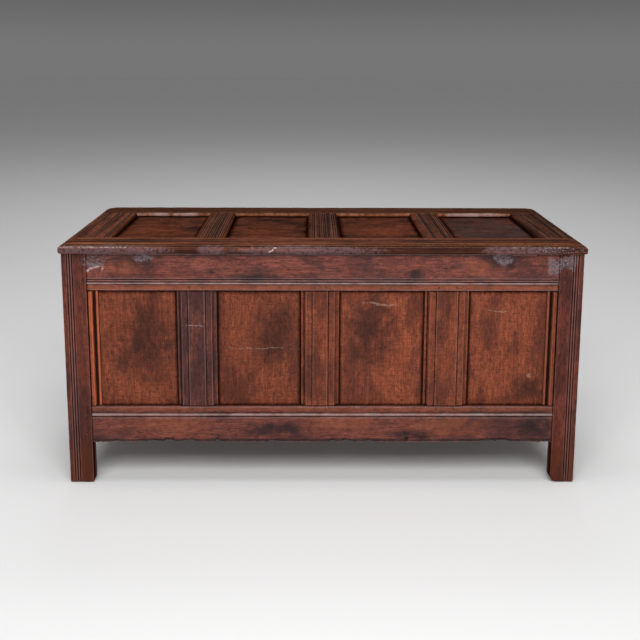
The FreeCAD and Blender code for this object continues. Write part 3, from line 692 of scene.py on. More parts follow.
# Stains, and painted shadows: the first row darkens the rail's top under the lid's overhang, the next two the
# wood round the scooped dents
CASE_STAINS_AND_SHADOWS = spots_mm(
    ((0, -276, 629), (WHOLE, 16, 12)),
    ((-472, -273, 607), (84, 60, 33)),
    ((456, -273, 607), (84, 60, 33)),
    ((-180, RAIL_FACE, 562), (90, 40, 16)),
    ((232, RAIL_FACE, 570), (34, 40, 22)),
    ((232, RAIL_FACE, 572), (22, 40, 18)),
    ((0, RAIL_FACE, 120), (WHOLE, 40, 6)),
    ((-130, RAIL_FACE, 150), (120, 40, 26)),
    ((240, RAIL_FACE, 135), (80, 40, 20)),
    ((560, RAIL_FACE, 160), (60, 40, 40)),
)
CASE_SCRATCHES = spots_mm(
    ((-335, -272, 432), (46, 20, 2.2), 4),
    ((-600, RAIL_FACE, 582), (17, 30, 4.5), -34),
    ((-583, RAIL_FACE, 588), (22, 30, 4.5), -12),
    ((-568, RAIL_FACE, 582), (13, 30, 3.5), -62),
)
CASE_WARMTH = spots_mm(
    ((0, -273, 535), (WHOLE, 30, 13)),
    ((0, -273, 206), (WHOLE, 30, 8)),
    ((-510, RAIL_FACE, 588), (70, 30, 24)),
    ((395, RAIL_FACE, 590), (60, 30, 26)),
    ((340, RAIL_FACE, 165), (150, 30, 44)),
    ((50, RAIL_FACE, 170), (120, 30, 40)),
    ((-400, RAIL_FACE, 165), (130, 30, 40)),
)
# Painted highlights: pale lines along the top rail's reeds and the bottom rail's bead
CASE_BEAD_HIGHLIGHTS = spots_mm(
    ((0, RAIL_FACE, 546), (WHOLE, 30, 4)),
    ((0, RAIL_FACE, 191.5), (WHOLE, 30, 5)),
)
# Painted sheen: grey-lilac patches on the front of the nosing
NOSING_SHEEN = spots_mm(
    ((-555, NOSING_FACE, 637), (230, 24, 28)),
    ((-286, NOSING_FACE, 637), (48, 24, 26)),
    ((-40, NOSING_FACE, 637), (260, 24, 20)),
    ((500, NOSING_FACE, 637), (130, 24, 22)),
)
NOSING_PITS = spots_mm(
    ((-440, NOSING_FACE, 640), (46, 12, 14)),
    ((590, NOSING_FACE, 637), (150, 14, 20)),
)
NOSING_SCRATCHES = spots_mm(
    ((-124, NOSING_FACE, 642), (9, 9, 4), -20),
    ((-129, NOSING_FACE, 638), (4, 9, 6), 30),
    ((-135, NOSING_FACE, 634), (7, 9, 3.5), -20),
    # The last two rows are pale lines along the nosing's top arris: a painted highlight over a worn edge
    ((-580, -289, 645), (260, 6, 3.0)),
    ((590, -289, 645), (240, 6, 3.0)),
)
# Painted highlight and painted glare on the back rail's ovolo, where it faces the light
FAR_OVOLO_HIGHLIGHT = spots_mm(((0, 187, 644), (WHOLE, 6, 7)))
FAR_GLARE = spots_mm(((-470, 188, 644), (150, 9, 10)), ((468, 188, 644), (140, 9, 10)))
# Painted shadow: a dark line where the hem steps down to the nosing
NOSE_SHADOW = spots_mm(((0, -280.5, 646), (WHOLE, 5, 4)))
# Painted highlight: a bright orange line along the hem of the lid's front rail
HEM_HIGHLIGHT = spots_mm(((-540, -262, 648), (190, 8, 8)), ((420, -262, 648), (330, 7, 7)))
# Painted sheen: a grey haze over the right lid panel
LID_PANEL_SHEEN = spots_mm(((480, -30, 640), (170, 300, 40)))
LEG_WARMTH = spots_mm(((-640, -276, 55), (70, 60, 100)), ((640, -276, 55), (70, 60, 100)))
LEG_STAINS = spots_mm(((-640, -255, 30), (90, 90, 130)), ((640, -255, 30), (90, 90, 130)))
LID_PANEL_WARMTH = spots_mm(
    ((-480, -60, 640), (130, 200, 30)),
    ((-160, -70, 640), (120, 180, 30)),
    ((165, -30, 640), (130, 220, 30)),
)
PANEL_STAINS = spots_mm(
    ((-455, PANEL_FACE, 372), (100, 30, 125)),
    ((-130, PANEL_FACE, 400), (70, 30, 120)),
    ((128, PANEL_FACE, 410), (88, 30, 140)),
    ((540, PANEL_FACE, 250), (60, 30, 60)),
)
PANEL_SCRATCHES = spots_mm(
    ((-160, PANEL_FACE, 368), (150, 20, 2.6), 1),
    ((150, PANEL_FACE, 489), (80, 20, 6.0), 2),
    ((455, PANEL_FACE, 470), (64, 20, 3.0), 3),
    ((545, PANEL_FACE, 292), (10, 20, 14), -20),
)

CASE_OAK = OakFinish(
    "waxed_oak_case", "#854537", "#431F19", "#28161B", rubbed_and_highlight="#9A716A", dirt_and_shade="#150B0B", glint="#A69EA4",
    stain_and_shadow="#1C0E11", pale_wear_and_sheen="#73676D", scratch="#BFB4B4", streak_share=0.46, fine_share=0.42,
    mottle_share=0.35, fleck_share=0.28, dirt_and_shade_share=0.72, rubbed_share=0.2, crest_share=0.12,
    stain_and_shadow_share=0.85, pale_wear_and_sheen_share=0.6, glint_share=0.58, scratch_share=0.6, shine=0.24, polish=0.22,
    pale_wear_and_sheen_patch=replace(PALE_WEAR_AND_SHEEN, speck=5 * MM, wander=14 * MM), stains_and_shadows=CASE_STAINS_AND_SHADOWS, warmed=CASE_WARMTH,
    pale_wear_and_sheen_spots=CASE_PALE_WEAR_AND_SHEEN, highlights=CASE_BEAD_HIGHLIGHTS, pitted=CASE_PITS, scratches=CASE_SCRATCHES)
LID_OAK = OakFinish(
    "waxed_oak_lid", "#85482F", "#2C1712", "#1D100F", rubbed_and_highlight="#A9602F", dirt_and_shade="#140B08", streak_share=0.4,
    fine_share=0.3, mottle_share=0.4, fleck_share=0.15, band_share=0.85, dirt_and_shade_share=0.28, crest_share=0.12,
    rough=0.4, shine=0.05, gloss=0.25)


class Finish(Enum):
    """The finish of each kind of piece."""

    CASE = CASE_OAK
    POST = replace(
        CASE_OAK, name="waxed_oak_post", pale="#753829", deep="#3C1B15", cloud="#241215", rubbed_and_highlight="#835852",
        dirt_and_shade="#170C0A", stain_and_shadow="#3F1808", warm="#4C1F08", streak_share=0.5, fine_share=0.4, mottle_share=0.3,
        fleck_share=0.2, dirt_and_shade_share=0.65, rubbed_share=0.35, crest_share=0.15, stain_and_shadow_share=0.35,
        warm_share=0.65, shine=0.16, polish=0.2, gloss=0.5, stains_and_shadows=LEG_STAINS, warmed=LEG_WARMTH, highlights=())
    PANEL = OakFinish(
        "waxed_oak_panel", "#974D31", "#58291B", "#331A17", rubbed_and_highlight="#905E50", dirt_and_shade="#130A08",
        streak_share=0.35, fine_share=0.35, mottle_share=0.25, fleck_share=0.4, plane_share=0.3,
        pore_share=0.5, dirt_and_shade_share=0.88, rubbed_share=0.2, crest_share=0.1, shine=0.16, gloss=0.3,
        stains_and_shadows=PANEL_STAINS, scratches=PANEL_SCRATCHES)
    SLIP = OakFinish(
        "waxed_oak_slip", "#AE522C", "#7A361B", "#4A2416", rubbed_and_highlight="#B05A2C", cloud_share=0.3,
        fleck_share=0.15)
    LID = LID_OAK
    LID_FRONT_RAIL = replace(
        LID_OAK, name="waxed_oak_nosing", stain_and_shadow="#0F0605", warm="#B8743C", pale_wear_and_sheen="#70585A",
        scratch="#D6C4B8", crest_share=0.25, stain_and_shadow_share=0.9, pale_wear_and_sheen_share=0.55, glint_share=0.3,
        scratch_share=0.7, scratching=replace(SCRATCH, wander=0.0), stains_and_shadows=NOSE_SHADOW, warmed=HEM_HIGHLIGHT,
        pale_wear_and_sheen_spots=NOSING_SHEEN, pitted=NOSING_PITS, scratches=NOSING_SCRATCHES)
    # The far rail's warm and pale patches paint its highlight and glare
    LID_BACK_RAIL = replace(
        LID_OAK, name="waxed_oak_far_rail", pale="#6C340F", deep="#361A0A", warm="#C27A58", pale_wear_and_sheen="#A88C88",
        warm_share=0.8, pale_wear_and_sheen_patch=replace(PALE_WEAR_AND_SHEEN, speck=40 * MM, wander=1 * MM), warmed=FAR_OVOLO_HIGHLIGHT,
        pale_wear_and_sheen_spots=FAR_GLARE)
    LID_PANEL = OakFinish(
        "waxed_oak_lid_panel", "#7E3F27", "#361A11", "#130908", warm="#9A4E26", pale_wear_and_sheen="#51403D",
        mottle_share=0.7, cloud_share=0.8, fleck_share=0.2, warm_share=0.28, pale_wear_and_sheen_share=0.5, rough=0.4,
        shine=0.04, pale_wear_and_sheen_patch=replace(PALE_WEAR_AND_SHEEN, speck=60 * MM), warmed=LID_PANEL_WARMTH,
        pale_wear_and_sheen_spots=LID_PANEL_SHEEN)
    BACK = OakFinish(
        "bare_oak_back", "#6B4A34", "#46301F", "#33231A", fleck="#3A281C", rubbed_and_highlight="#7D6049", fleck_share=0.15,
        pore_share=0.65, rough=0.62)
    PEG = PegFinish()
    IRON = IronFinish()


def merged_copy(node: str) -> bmesh.types.BMesh:
    """Join a node's triangles into one surface.

    Args:
        node: The node.

    Returns:
        A copy of its mesh, to be freed after use.
    """
    surface = bmesh.new()
    surface.from_mesh(frame["nodes"][node].data)
    bmesh.ops.remove_doubles(surface, verts=surface.verts, dist=DOUBLES)
    return surface


def loop_area(points: np.ndarray) -> float:
    """Signed area of a closed loop, positive where it turns to the left."""
    after = np.roll(points, -1, axis=0)
    return float((points[:, 0] * after[:, 1] - points[:, 1] * after[:, 0]).sum() / 2)


def slice_loop(node: str, axis: Axis, station: float) -> np.ndarray:
    """Cut a node across and read the outline of the cut.

    Args:
        node: The node to cut.
        axis: The direction that the cut is square to.
        station: Where the cut lies along that direction.

    Returns:
        The points of the largest loop, in the plane of the other two directions, turning to the left.
    """
    surface = merged_copy(node)
    normal = Vector((0, 0, 0))
    normal[axis.value] = 1.0
    geometry = surface.verts[:] + surface.edges[:] + surface.faces[:]
    result = bmesh.ops.bisect_plane(surface, geom=geometry, plane_co=normal * station, plane_no=normal)
    beside: dict[bmesh.types.BMVert, list] = {}
    for edge in (item for item in result["geom_cut"] if isinstance(item, bmesh.types.BMEdge)):
        first, second = edge.verts
        beside.setdefault(first, []).append(second)
        beside.setdefault(second, []).append(first)
    loops = []
    seen: set = set()
    for start in beside:
        loop = []
        at = None if start in seen else start
        while at is not None:
            seen.add(at)
            loop.append([at.co[axis.plane[0]], at.co[axis.plane[1]]])
            at = next((vert for vert in beside[at] if vert not in seen), None)
        if len(loop) > 2:
            loops.append(np.array(loop))
    surface.free()
    widest = max(loops, key=lambda points: abs(loop_area(points)))
    return widest if loop_area(widest) > 0 else widest[::-1]


def simplified(points: np.ndarray) -> np.ndarray:
    """Drop the points of a closed loop that lie on a straight stretch.

    Args:
        points: The loop.

    Returns:
        The points that its shape needs.
    """
    start = int(np.argmax(((points - points.mean(0)) ** 2).sum(1)))
    ring = np.roll(points, -start, axis=0)
    closed = np.vstack([ring, ring[:1]])
    far = int(np.argmax(((ring - ring[0]) ** 2).sum(1)))
    kept = {0, far}
    stretches = [(0, far), (far, len(ring))]
    while stretches:
        low, high = stretches.pop()
        if high - low < 2:
            continue
        chord = closed[high] - closed[low]
        offset = closed[low + 1:high] - closed[low]
        gap = np.abs(chord[0] * offset[:, 1] - chord[1] * offset[:, 0]) / max(np.hypot(*chord), ON_LINE)
        worst = int(np.argmax(gap))
        if gap[worst] > ON_LINE:
            corner = low + 1 + worst
            kept.add(corner)
            stretches += [(low, corner), (corner, high)]
    return ring[sorted(kept)]


def softened(points: np.ndarray, radius: float) -> np.ndarray:
    """Round the sharp corners of a closed loop.

    Args:
        points: The loop.
        radius: The radius that a worn corner has, less where its sides are short.

    Returns:
        The loop with a few points round each corner.
    """
    rounded = []
    for before, at, after in zip(np.roll(points, 1, axis=0), points, np.roll(points, -1, axis=0)):
        into, out = at - before, after - at
        turn = abs(math.atan2(into[0] * out[1] - into[1] * out[0], into @ out))
        if turn < SHARP_TURN:
            rounded.append(at)
            continue
        reach = min(radius * math.tan(min(turn, MOST_TURN) / 2), CORNER_REACH_SHARE * np.hypot(*into),
                    CORNER_REACH_SHARE * np.hypot(*out))
        start = at - into / np.hypot(*into) * reach
        end = at + out / np.hypot(*out) * reach
        for share in CORNER_SHARES:
            left = start + (at - start) * share
            rounded.append(left + (at + (end - at) * share - left) * share)
    return np.array(rounded)


def densified(points: np.ndarray, step: float) -> np.ndarray:
    """Divide the long stretches of a closed loop.

    Args:
        points: The loop.
        step: The longest that a stretch may stay.

    Returns:
        The loop with the points that were added.
    """
    dense = []
    for start, end in zip(points, np.roll(points, -1, axis=0)):
        count = max(1, math.ceil(np.hypot(*(end - start)) / step))
        dense += [start + (end - start) * index / count for index in range(count)]
    return np.array(dense)


def covered_share(points: np.ndarray, loops: list[np.ndarray], reach: float) -> np.ndarray:
    """How much wood lies round each point.

    Args:
        points: Points on a section.
        loops: Outlines of the wood at that section, neighbours among them.
        reach: The radius that is looked at.

    Returns:
        For each point, the share of a disc round it that lies in wood.
    """
    index = np.arange(PROBES)
    radius = reach * np.sqrt((index + 0.5) / PROBES)
    angle = index * PROBE_TURN
    probes = points[:, None, :] + np.stack([radius * np.cos(angle), radius * np.sin(angle)], 1)[None]
    inside = np.zeros(probes.shape[:2], bool)
    for loop in loops:
        within = np.zeros(probes.shape[:2], bool)
        for (x1, y1), (x2, y2) in zip(loop, np.roll(loop, -1, axis=0)):
            if y1 == y2:
                continue
            crosses = (y1 > probes[..., 1]) != (y2 > probes[..., 1])
            within ^= crosses & (probes[..., 0] < x1 + (x2 - x1) * (probes[..., 1] - y1) / (y2 - y1))
        inside |= within
    return inside.mean(1)


def risen(values: np.ndarray, start: float, full: float) -> np.ndarray:
    """How far values have come from a start, at nought, to a full value, at one."""
    return np.clip((values - start) / (full - start), 0, 1)


def set_back(depth: float, radius: float) -> float:
    """How far a round corner stands back at a depth that is less than its radius."""
    return radius - math.sqrt(radius ** 2 - (radius - depth) ** 2)


def spread(points: np.ndarray, values: np.ndarray, width: float) -> np.ndarray:
    """Let values on a closed loop fade out over a width on both sides of where they lie.

    Args:
        points: The loop.
        values: A value at each point.
        width: The distance along the loop over which a value fades.

    Returns:
        The greatest value that reaches each point.
    """
    lengths = np.hypot(*(np.roll(points, -1, axis=0) - points).T)
    places = np.concatenate([[0.0], np.cumsum(lengths)[:-1]])
    apart = np.abs(places[:, None] - places[None])
    apart = np.minimum(apart, lengths.sum() - apart)
    return (values[None] * np.clip(1 - apart / width, 0, 1)).max(1)


def link_object(name: str, mesh: Mesh) -> Object:
    """Put a mesh in the scene at the origin.

    Args:
        name: The object's name.
        mesh: Its mesh.

    Returns:
        The object.
    """
    made = bpy.data.objects.new(name, mesh)
    bpy.context.scene.collection.objects.link(made)
    return made


def evaluated_mesh(made: Object) -> Mesh:
    """A plain mesh of an object with its modifiers applied."""
    graph = bpy.context.evaluated_depsgraph_get()
    return bpy.data.meshes.new_from_object(made.evaluated_get(graph), preserve_all_data_layers=True,
                                           depsgraph=graph)


def become_plain(made: Object) -> None:
    """Replace an object's mesh by its evaluated one, and take its modifiers off.

    Args:
        made: The object.
    """
    mesh = evaluated_mesh(made)
    made.modifiers.clear()
    used = made.data
    made.data = mesh
    bpy.data.meshes.remove(used)
    mesh.name = made.name


def set_mark(mesh: Mesh, name: str, values: np.ndarray) -> None:
    """Write a mark on the points of a mesh.

    Args:
        mesh: The mesh.
        name: The mark's name.
        values: A number or a vector for each point.
    """
    kind, key = ("FLOAT", "value") if values.ndim == 1 else ("FLOAT_VECTOR", "vector")
    if name in mesh.attributes:
        mesh.attributes.remove(mesh.attributes[name])
    mark = mesh.attributes.new(name, kind, "POINT")
    mark.data.foreach_set(key, np.ascontiguousarray(values, np.float32).ravel())


def points_of(mesh: Mesh) -> np.ndarray:
    """Read the points of a mesh.

    Args:
        mesh: The mesh.

    Returns:
        The points as rows.
    """
    places = np.empty(len(mesh.vertices) * 3, np.float32)
    mesh.vertices.foreach_get("co", places)
    return places.reshape(-1, 3).astype(float)


def cut_recesses(mesh: Mesh, boxes: tuple) -> Mesh:
    """Cut square recesses out of a mesh.

    Args:
        mesh: The mesh, which is used up.
        boxes: The lowest and highest corner of each recess.

    Returns:
        The mesh with the recesses.
    """
    tool = bmesh.new()
    for low, high in boxes:
        size = Matrix.Diagonal((*(Vector(high) - Vector(low)), 1.0))
        place = Matrix.Translation((Vector(high) + Vector(low)) / 2)
        bmesh.ops.create_cube(tool, size=1.0, matrix=place @ size)
    tool_mesh = bpy.data.meshes.new("recess_tool")
    tool.to_mesh(tool_mesh)
    tool.free()
    body = link_object("recess_body", mesh)
    cutter = link_object("recess_cutter", tool_mesh)
    recess = body.modifiers.new("recess", "BOOLEAN")
    recess.operation = "DIFFERENCE"
    recess.solver = "EXACT"
    recess.object = cutter
    result = evaluated_mesh(body)
    for made in (body, cutter):
        bpy.data.objects.remove(made)
    for used in (mesh, tool_mesh):
        bpy.data.meshes.remove(used)
    return result


class MeshTree:
    """Geometry nodes with a named input for their material and for each of their sizes."""

    INPUTS: tuple[str, ...] = ()

    def __init__(self, name: str) -> None:
        """Make the tree and its sockets.

        Args:
            name: The tree's name.
        """
        self.tree = bpy.data.node_groups.new(name, "GeometryNodeTree")
        face = self.tree.interface
        for way in ("OUTPUT", "INPUT"):
            face.new_socket("Geometry", in_out=way, socket_type="NodeSocketGeometry")
        kinds = {"Material": "NodeSocketMaterial", **dict.fromkeys(self.INPUTS, "NodeSocketFloat")}
        self.sockets = [face.new_socket(title, in_out="INPUT", socket_type=kind).identifier
                        for title, kind in kinds.items()]

    def _close(self, given: Node, geometry: Node) -> None:
        """End the tree in real geometry that wears its material.

        Args:
            given: The tree's inputs.
            geometry: The node that gives the shape.
        """
        real = add_node(self.tree, "GeometryNodeRealizeInstances", {"Geometry": geometry})
        dressed = add_node(self.tree, "GeometryNodeSetMaterial",
                           {"Geometry": real, "Material": given.outputs["Material"]})
        add_node(self.tree, "NodeGroupOutput", {"Geometry": dressed})

    def apply(self, made: Object, material: Material, *sizes: float) -> None:
        """Run the tree on an object and leave it a plain mesh.

        Args:
            made: The object.
            material: Its material.
            *sizes: A value for each of the inputs, in their order.
        """
        modifier = made.modifiers.new(self.tree.name, "NODES")
        modifier.node_group = self.tree
        for socket, value in zip(self.sockets, (material, *sizes)):
            modifier[socket] = value
        become_plain(made)


class WornTimberTree(MeshTree):
    """Geometry nodes that wear a timber: planing waves, worn-down arrises, and nicks along them."""

    INPUTS = ("Waviness", "Wave Length", "Arris Loss", "Loss Length", "Nick Depth", "Nick Length", "Seed")

    def __init__(self) -> None:
        """Build the tree."""
        super().__init__("worn_timber")
        add = partial(add_node, self.tree)
        given = add("NodeGroupInput")
        size = given.outputs
        arris = add("GeometryNodeInputNamedAttribute", {"Name": ARRIS}, data_type="FLOAT")
        wave = self._share(given, "Wave Length", 0.0, 2.0, (0.2, 0.8))
        loss = self._share(given, "Loss Length", 7.3, 4.0, (0.38, 0.72))
        nick = self._share(given, "Nick Length", 13.1, 1.0, (0.62, 0.76))
        nicked = add(MATH, {0: nick, 1: size["Nick Depth"]}, operation="MULTIPLY")
        losses = {0: loss, 1: size["Arris Loss"], 2: nicked}
        lost = add(MATH, losses, operation="MULTIPLY_ADD")
        waved = add(MATH, {0: wave, 1: size["Waviness"]}, operation="MULTIPLY")
        depth = add(MATH, {0: lost, 1: arris, 2: waved}, operation="MULTIPLY_ADD")
        inward = add(MATH, {0: depth, 1: -1.0}, operation="MULTIPLY")
        normal = add("GeometryNodeInputNormal")
        offset = add(VECTOR_MATH, {0: normal, "Scale": inward}, operation="SCALE")
        shown = add(MATH, {0: loss, 1: nick}, operation="MAXIMUM")
        faint = add(MATH, {0: shown, 1: 0.6, 2: 0.4}, operation="MULTIPLY_ADD")
        worn = add(MATH, {0: faint, 1: arris}, operation="MULTIPLY")
        marked = add("GeometryNodeStoreNamedAttribute", {"Geometry": size["Geometry"], "Name": WORN,
                                                         "Value": worn}, data_type="FLOAT", domain="POINT")
        moved = add("GeometryNodeSetPosition", {"Geometry": marked, "Offset": offset})
        self._close(given, moved)

    def _share(self, given: Node, length: str, shift: float, detail: float,
               ease: tuple[float, float]) -> Node:
        """Seeded noise of a given length.

        Args:
            given: The tree's inputs.
            length: The input that holds the length.
            shift: What is added to the seed, so that one noise differs from the next.
            detail: The noise's detail.
            ease: The values of the noise that become nought and one.

        Returns:
            The node that gives the noise, from nought to one.
        """
        add = partial(add_node, self.tree)
        scale = add(MATH, {0: 1.0, 1: given.outputs[length]}, operation="DIVIDE")
        seed = add(MATH, {0: given.outputs["Seed"], 1: shift}, operation="ADD")
        place = add("GeometryNodeInputPosition")
        source = {"Vector": place, "W": seed, "Scale": scale, "Detail": detail}
        noise = add(NOISE, source, noise_dimensions="4D")
        eased = {"Value": noise, "From Min": ease[0], "From Max": ease[1]}
        return add(MAP_RANGE, eased, interpolation_type="SMOOTHSTEP")


@dataclass(frozen=True)
class Bruise:
    """A smooth dent: its centre, its half sizes, and how far its middle is pushed, in metres."""

    centre: tuple[float, float, float]
    reach: tuple[float, float, float]
    push: tuple[float, float, float]
    roundness: float = 1.5

    def move(self, places: np.ndarray) -> np.ndarray:
        """Push points in.

        Args:
            places: The points as rows.

        Returns:
            The points with the dent.
        """
        far = (((places - np.array(self.centre)) / np.array(self.reach)) ** 2).sum(1)
        share = np.clip(1 - far, 0, 1)[:, None] ** self.roundness
        return places + share * np.array(self.push)


def bruises_mm(*rows: tuple) -> tuple[Bruise, ...]:
    """Bruises from rows of a centre, half sizes and a push, all in millimetres."""
    return tuple(Bruise(*(tuple(value * MM for value in values) for values in row)) for row in rows)


def grain_of(places: np.ndarray, axis: Axis, lean: float, source: random.Random) -> np.ndarray:
    """Find where points lie in the figure of their board.

    Args:
        places: The points as rows.
        axis: The direction that the grain runs along.
        lean: How far the grain may lean from that direction, across for each unit along.
        source: The board's own random numbers.

    Returns:
        For each point, its place along the grain and the two places across it.
    """
    along = places[:, axis.value]
    others = [places[:, other] + along * source.uniform(-lean, lean) for other in axis.plane]
    offset = np.array([source.uniform(-GRAIN_SHIFT, GRAIN_SHIFT) for _ in range(3)])
    return np.stack([along, *others], 1) + offset


@dataclass
class Workshop:
    """What every sub-assembly shares: the materials, the wear and the boxes that hold the unwaxed faces."""

    materials: dict[Finish, Material]
    wear: WornTimberTree
    bare: tuple[tuple[np.ndarray, np.ndarray], ...]

    def dry_share(self, places: np.ndarray) -> np.ndarray:
        """One where a point lies on a face that was never waxed, and nought elsewhere."""
        held = [((places > low) & (places < high)).all(1) for low, high in self.bare]
        return np.any(held, axis=0).astype(float)

    def release(self, made: Object, body: str, slot: str, *nodes: str) -> None:
        """Shade a finished piece, hang it on its body and report it.

        Args:
            made: The piece.
            body: The body that it rides on.
            slot: The material slot that it takes its finish from; not used.
            *nodes: The nodes that it stands for.
        """
        made.data.shade_smooth()
        made.data.set_sharp_from_angle(angle=SHADE_ANGLE)
        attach(made, body)
        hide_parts(*nodes)
        LOG.info("%s: %d faces", made.name, len(made.data.polygons))


@dataclass
class Timber:
    """One straight timber, swept along its grain from the section of its node.

    The node is cut at the station, and the piece runs over the span. The nodes beside it count as wood when
    its hollows are looked for, so that the shade they cast is painted in as well. Sizes are in metres, and
    strengths of dirt and painted shade from nought to one.
    """

    node: str
    axis: Axis
    station: float
    span: tuple[float, float]
    finish: Finish
    body: Body = Body.CASE
    slot: Slot = Slot.CASE
    beside: tuple[str, ...] = ()
    beside_station: float | None = None
    exposure: Exposure = Exposure.HANDLED
    tone: float = 1.0
    radius: float = 1.5 * MM
    step: float = 6.0 * MM
    start_round: float = 0.5 * MM
    end_round: float = 0.5 * MM
    end_grime: float = 0.75
    end_grime_width: float = 2.6 * MM
    ragged: float = 0.0
    bruises: tuple[Bruise, ...] = ()
    recesses: tuple = ()
    look_reaches: tuple[float, float] = (3.0 * MM, 10.0 * MM)
    groove_width: float = 1.7 * MM
    # Painted shade on the flanks: its strength at the low and the high side of the section
    flank_shade: tuple[float, float] = (0.0, 0.0)
    flank_width: float = 10.0 * MM

    def stations(self) -> np.ndarray:
        """Find where the section is drawn.

        Returns:
            Places along the timber, closer together at its rounded ends.
        """
        low, high = self.span
        count = max(2, math.ceil((high - low) / self.step))
        starts = [low + self.start_round * share for share in END_SHARES]
        ends = [high - self.end_round * share for share in END_SHARES]
        places = np.concatenate([np.linspace(low, high, count + 1), starts, ends])
        places = np.unique(np.round(places, PLACE_DIGITS))
        return places[(places >= low) & (places <= high)]

    def shape(self, places: np.ndarray) -> np.ndarray:
        """A hook for timbers whose ends are shaped, given the points as stations by section points."""
        return places

    def build(self, shop: Workshop) -> None:
        """Make the timber, wear it and hang it on its body.

        Args:
            shop: The shared materials and wear.
        """
        raw = slice_loop(self.node, self.axis, self.station)
        points = densified(softened(simplified(raw), self.radius), self.step)
        arris, crest, hollow = self._section_marks(points, raw)
        stations = self.stations()
        places = self.shape(self._sweep(points, stations)).reshape(-1, 3)
        torn = self._bites(places)
        places[:, Axis.Z.value] += self.ragged * torn
        for bruise in self.bruises:
            places = bruise.move(places)
        mesh = bpy.data.meshes.new(f"{self.node}_oak")
        mesh.from_pydata(places.tolist(), [], self._faces(len(points), len(stations)))
        # Dirt in the end joints, and dirt with painted shade in the hollows; the eaten lower edge is darkened
        # as well
        dirt_and_shade = np.maximum.outer(self._end_share(stations), hollow).ravel()
        set_mark(mesh, ARRIS, np.tile(arris, len(stations)))
        set_mark(mesh, CREST, np.tile(crest, len(stations)))
        set_mark(mesh, DIRT_AND_SHADE, np.maximum(dirt_and_shade, torn))
        if self.recesses:
            mesh = cut_recesses(mesh, self.recesses)
        self._mark_places(mesh, shop)
        made = link_object(f"{self.node}_oak", mesh)
        seed = random.Random(self.node).uniform(0, SEED_SPAN)
        shop.wear.apply(made, shop.materials[self.finish], *astuple(self.exposure.value), seed)
        shop.release(made, self.body.value, self.slot.value, self.node)

    def _section_marks(self, points: np.ndarray, raw: np.ndarray) -> tuple[np.ndarray, ...]:
        """Find the arrises, crests and hollows of the section.

        Args:
            points: The section as it is drawn.
            raw: The section as it was cut.

        Returns:
            For each point, how far it is an arris, a crest, and a hollow that is painted dark for dirt and
            shade.
        """
        station = self.beside_station or self.station
        wood = [raw, *(slice_loop(node, self.axis, station) for node in self.beside)]
        near, wide = (covered_share(points, wood, reach) for reach in self.look_reaches)
        groove = spread(points, risen(near, *GROOVE_SHARES), self.groove_width)
        hollow = np.max([groove, risen(wide, *HOLLOW_SHARES), self._flank_share(points)], axis=0)
        return risen(near, *ARRIS_SHARES), risen(near, *CREST_SHARES), hollow

    def _sweep(self, points: np.ndarray, stations: np.ndarray) -> np.ndarray:
        """Draw the section at every station, in a little at rounded ends.

        Args:
            points: The section.
            stations: The places along the timber.

        Returns:
            The points, as stations by section points.
        """
        centre = (points.min(0) + points.max(0)) / 2
        half = (points.max(0) - points.min(0)) / 2
        grid = np.empty((len(stations), len(points), 3))
        for row, place in enumerate(stations):
            ends = ((place - self.span[0], self.start_round), (self.span[1] - place, self.end_round))
            inset = max([set_back(depth, radius) for depth, radius in ends if depth < radius], default=0.0)
            grid[row, :, self.axis.value] = place
            grid[row][:, self.axis.plane] = centre + (points - centre) * (1 - inset / half)
        return grid

    def _flank_share(self, points: np.ndarray) -> np.ndarray:
        """Painted shade on the upper half of the moulded flanks, at the low and the high side of the section.

        Args:
            points: The section.

        Returns:
            The strength of the painted shade at each point.
        """
        level, across = points.T
        upper = level > (level.min() + level.max()) / 2
        reaches = (across - across.min(), across.max() - across)
        shares = [strength * risen(reach, self.flank_width, FLANK_FULL_SHARE * self.flank_width)
                  for strength, reach in zip(self.flank_shade, reaches)]
        return np.maximum(*shares) * upper

    def _end_share(self, stations: np.ndarray) -> np.ndarray:
        """Dirt in the joints at both ends."""
        near = np.minimum(stations - self.span[0], self.span[1] - stations)
        return self.end_grime * np.exp(-near / self.end_grime_width)

    def _bites(self, places: np.ndarray) -> np.ndarray:
        """How far worm and damp have eaten the lower edge away.

        Args:
            places: The points as rows.

        Returns:
            The share that is lost at each point.
        """
        if not self.ragged:
            return np.zeros(len(places))
        along = places[:, self.axis.value] - self.span[0]
        length = self.span[1] - self.span[0]
        fine_source = random.Random(self.node)
        crumbs = [fine_source.random() for _ in range(int(length / CRUMB_LENGTH) + 3)]
        fine = np.interp(along / CRUMB_LENGTH, np.arange(len(crumbs)), crumbs)
        source = random.Random(self.node)
        bite = CRUMB_SHARE * fine
        for _ in range(int(length / BITE_SPACING)):
            half = source.uniform(*BITE_HALF_MM) * MM
            far = np.abs(along - source.uniform(0, length))
            strength = source.uniform(*BITE_STRENGTH) ** 2
            bite = np.maximum(bite, strength * risen(far, half, BITE_FULL_SHARE * half) * (1 + fine) / 2)
        height = places[:, Axis.Z.value]
        return bite * risen(height - height.min(), BITE_HEIGHT, 0.0)

    @staticmethod
    def _faces(around: int, along: int) -> list[list[int]]:
        """Quads round a sweep, and a face at each end.

        Args:
            around: How many points a section has.
            along: How many stations there are.

        Returns:
            The points of each face.
        """
        index = np.arange(around)
        after = (index + 1) % around
        ring = np.stack([index, after, around + after, around + index], 1)
        quads = np.concatenate([ring + row * around for row in range(along - 1)]).tolist()
        last = (along - 1) * around
        return quads + [index[::-1].tolist(), (last + index).tolist()]

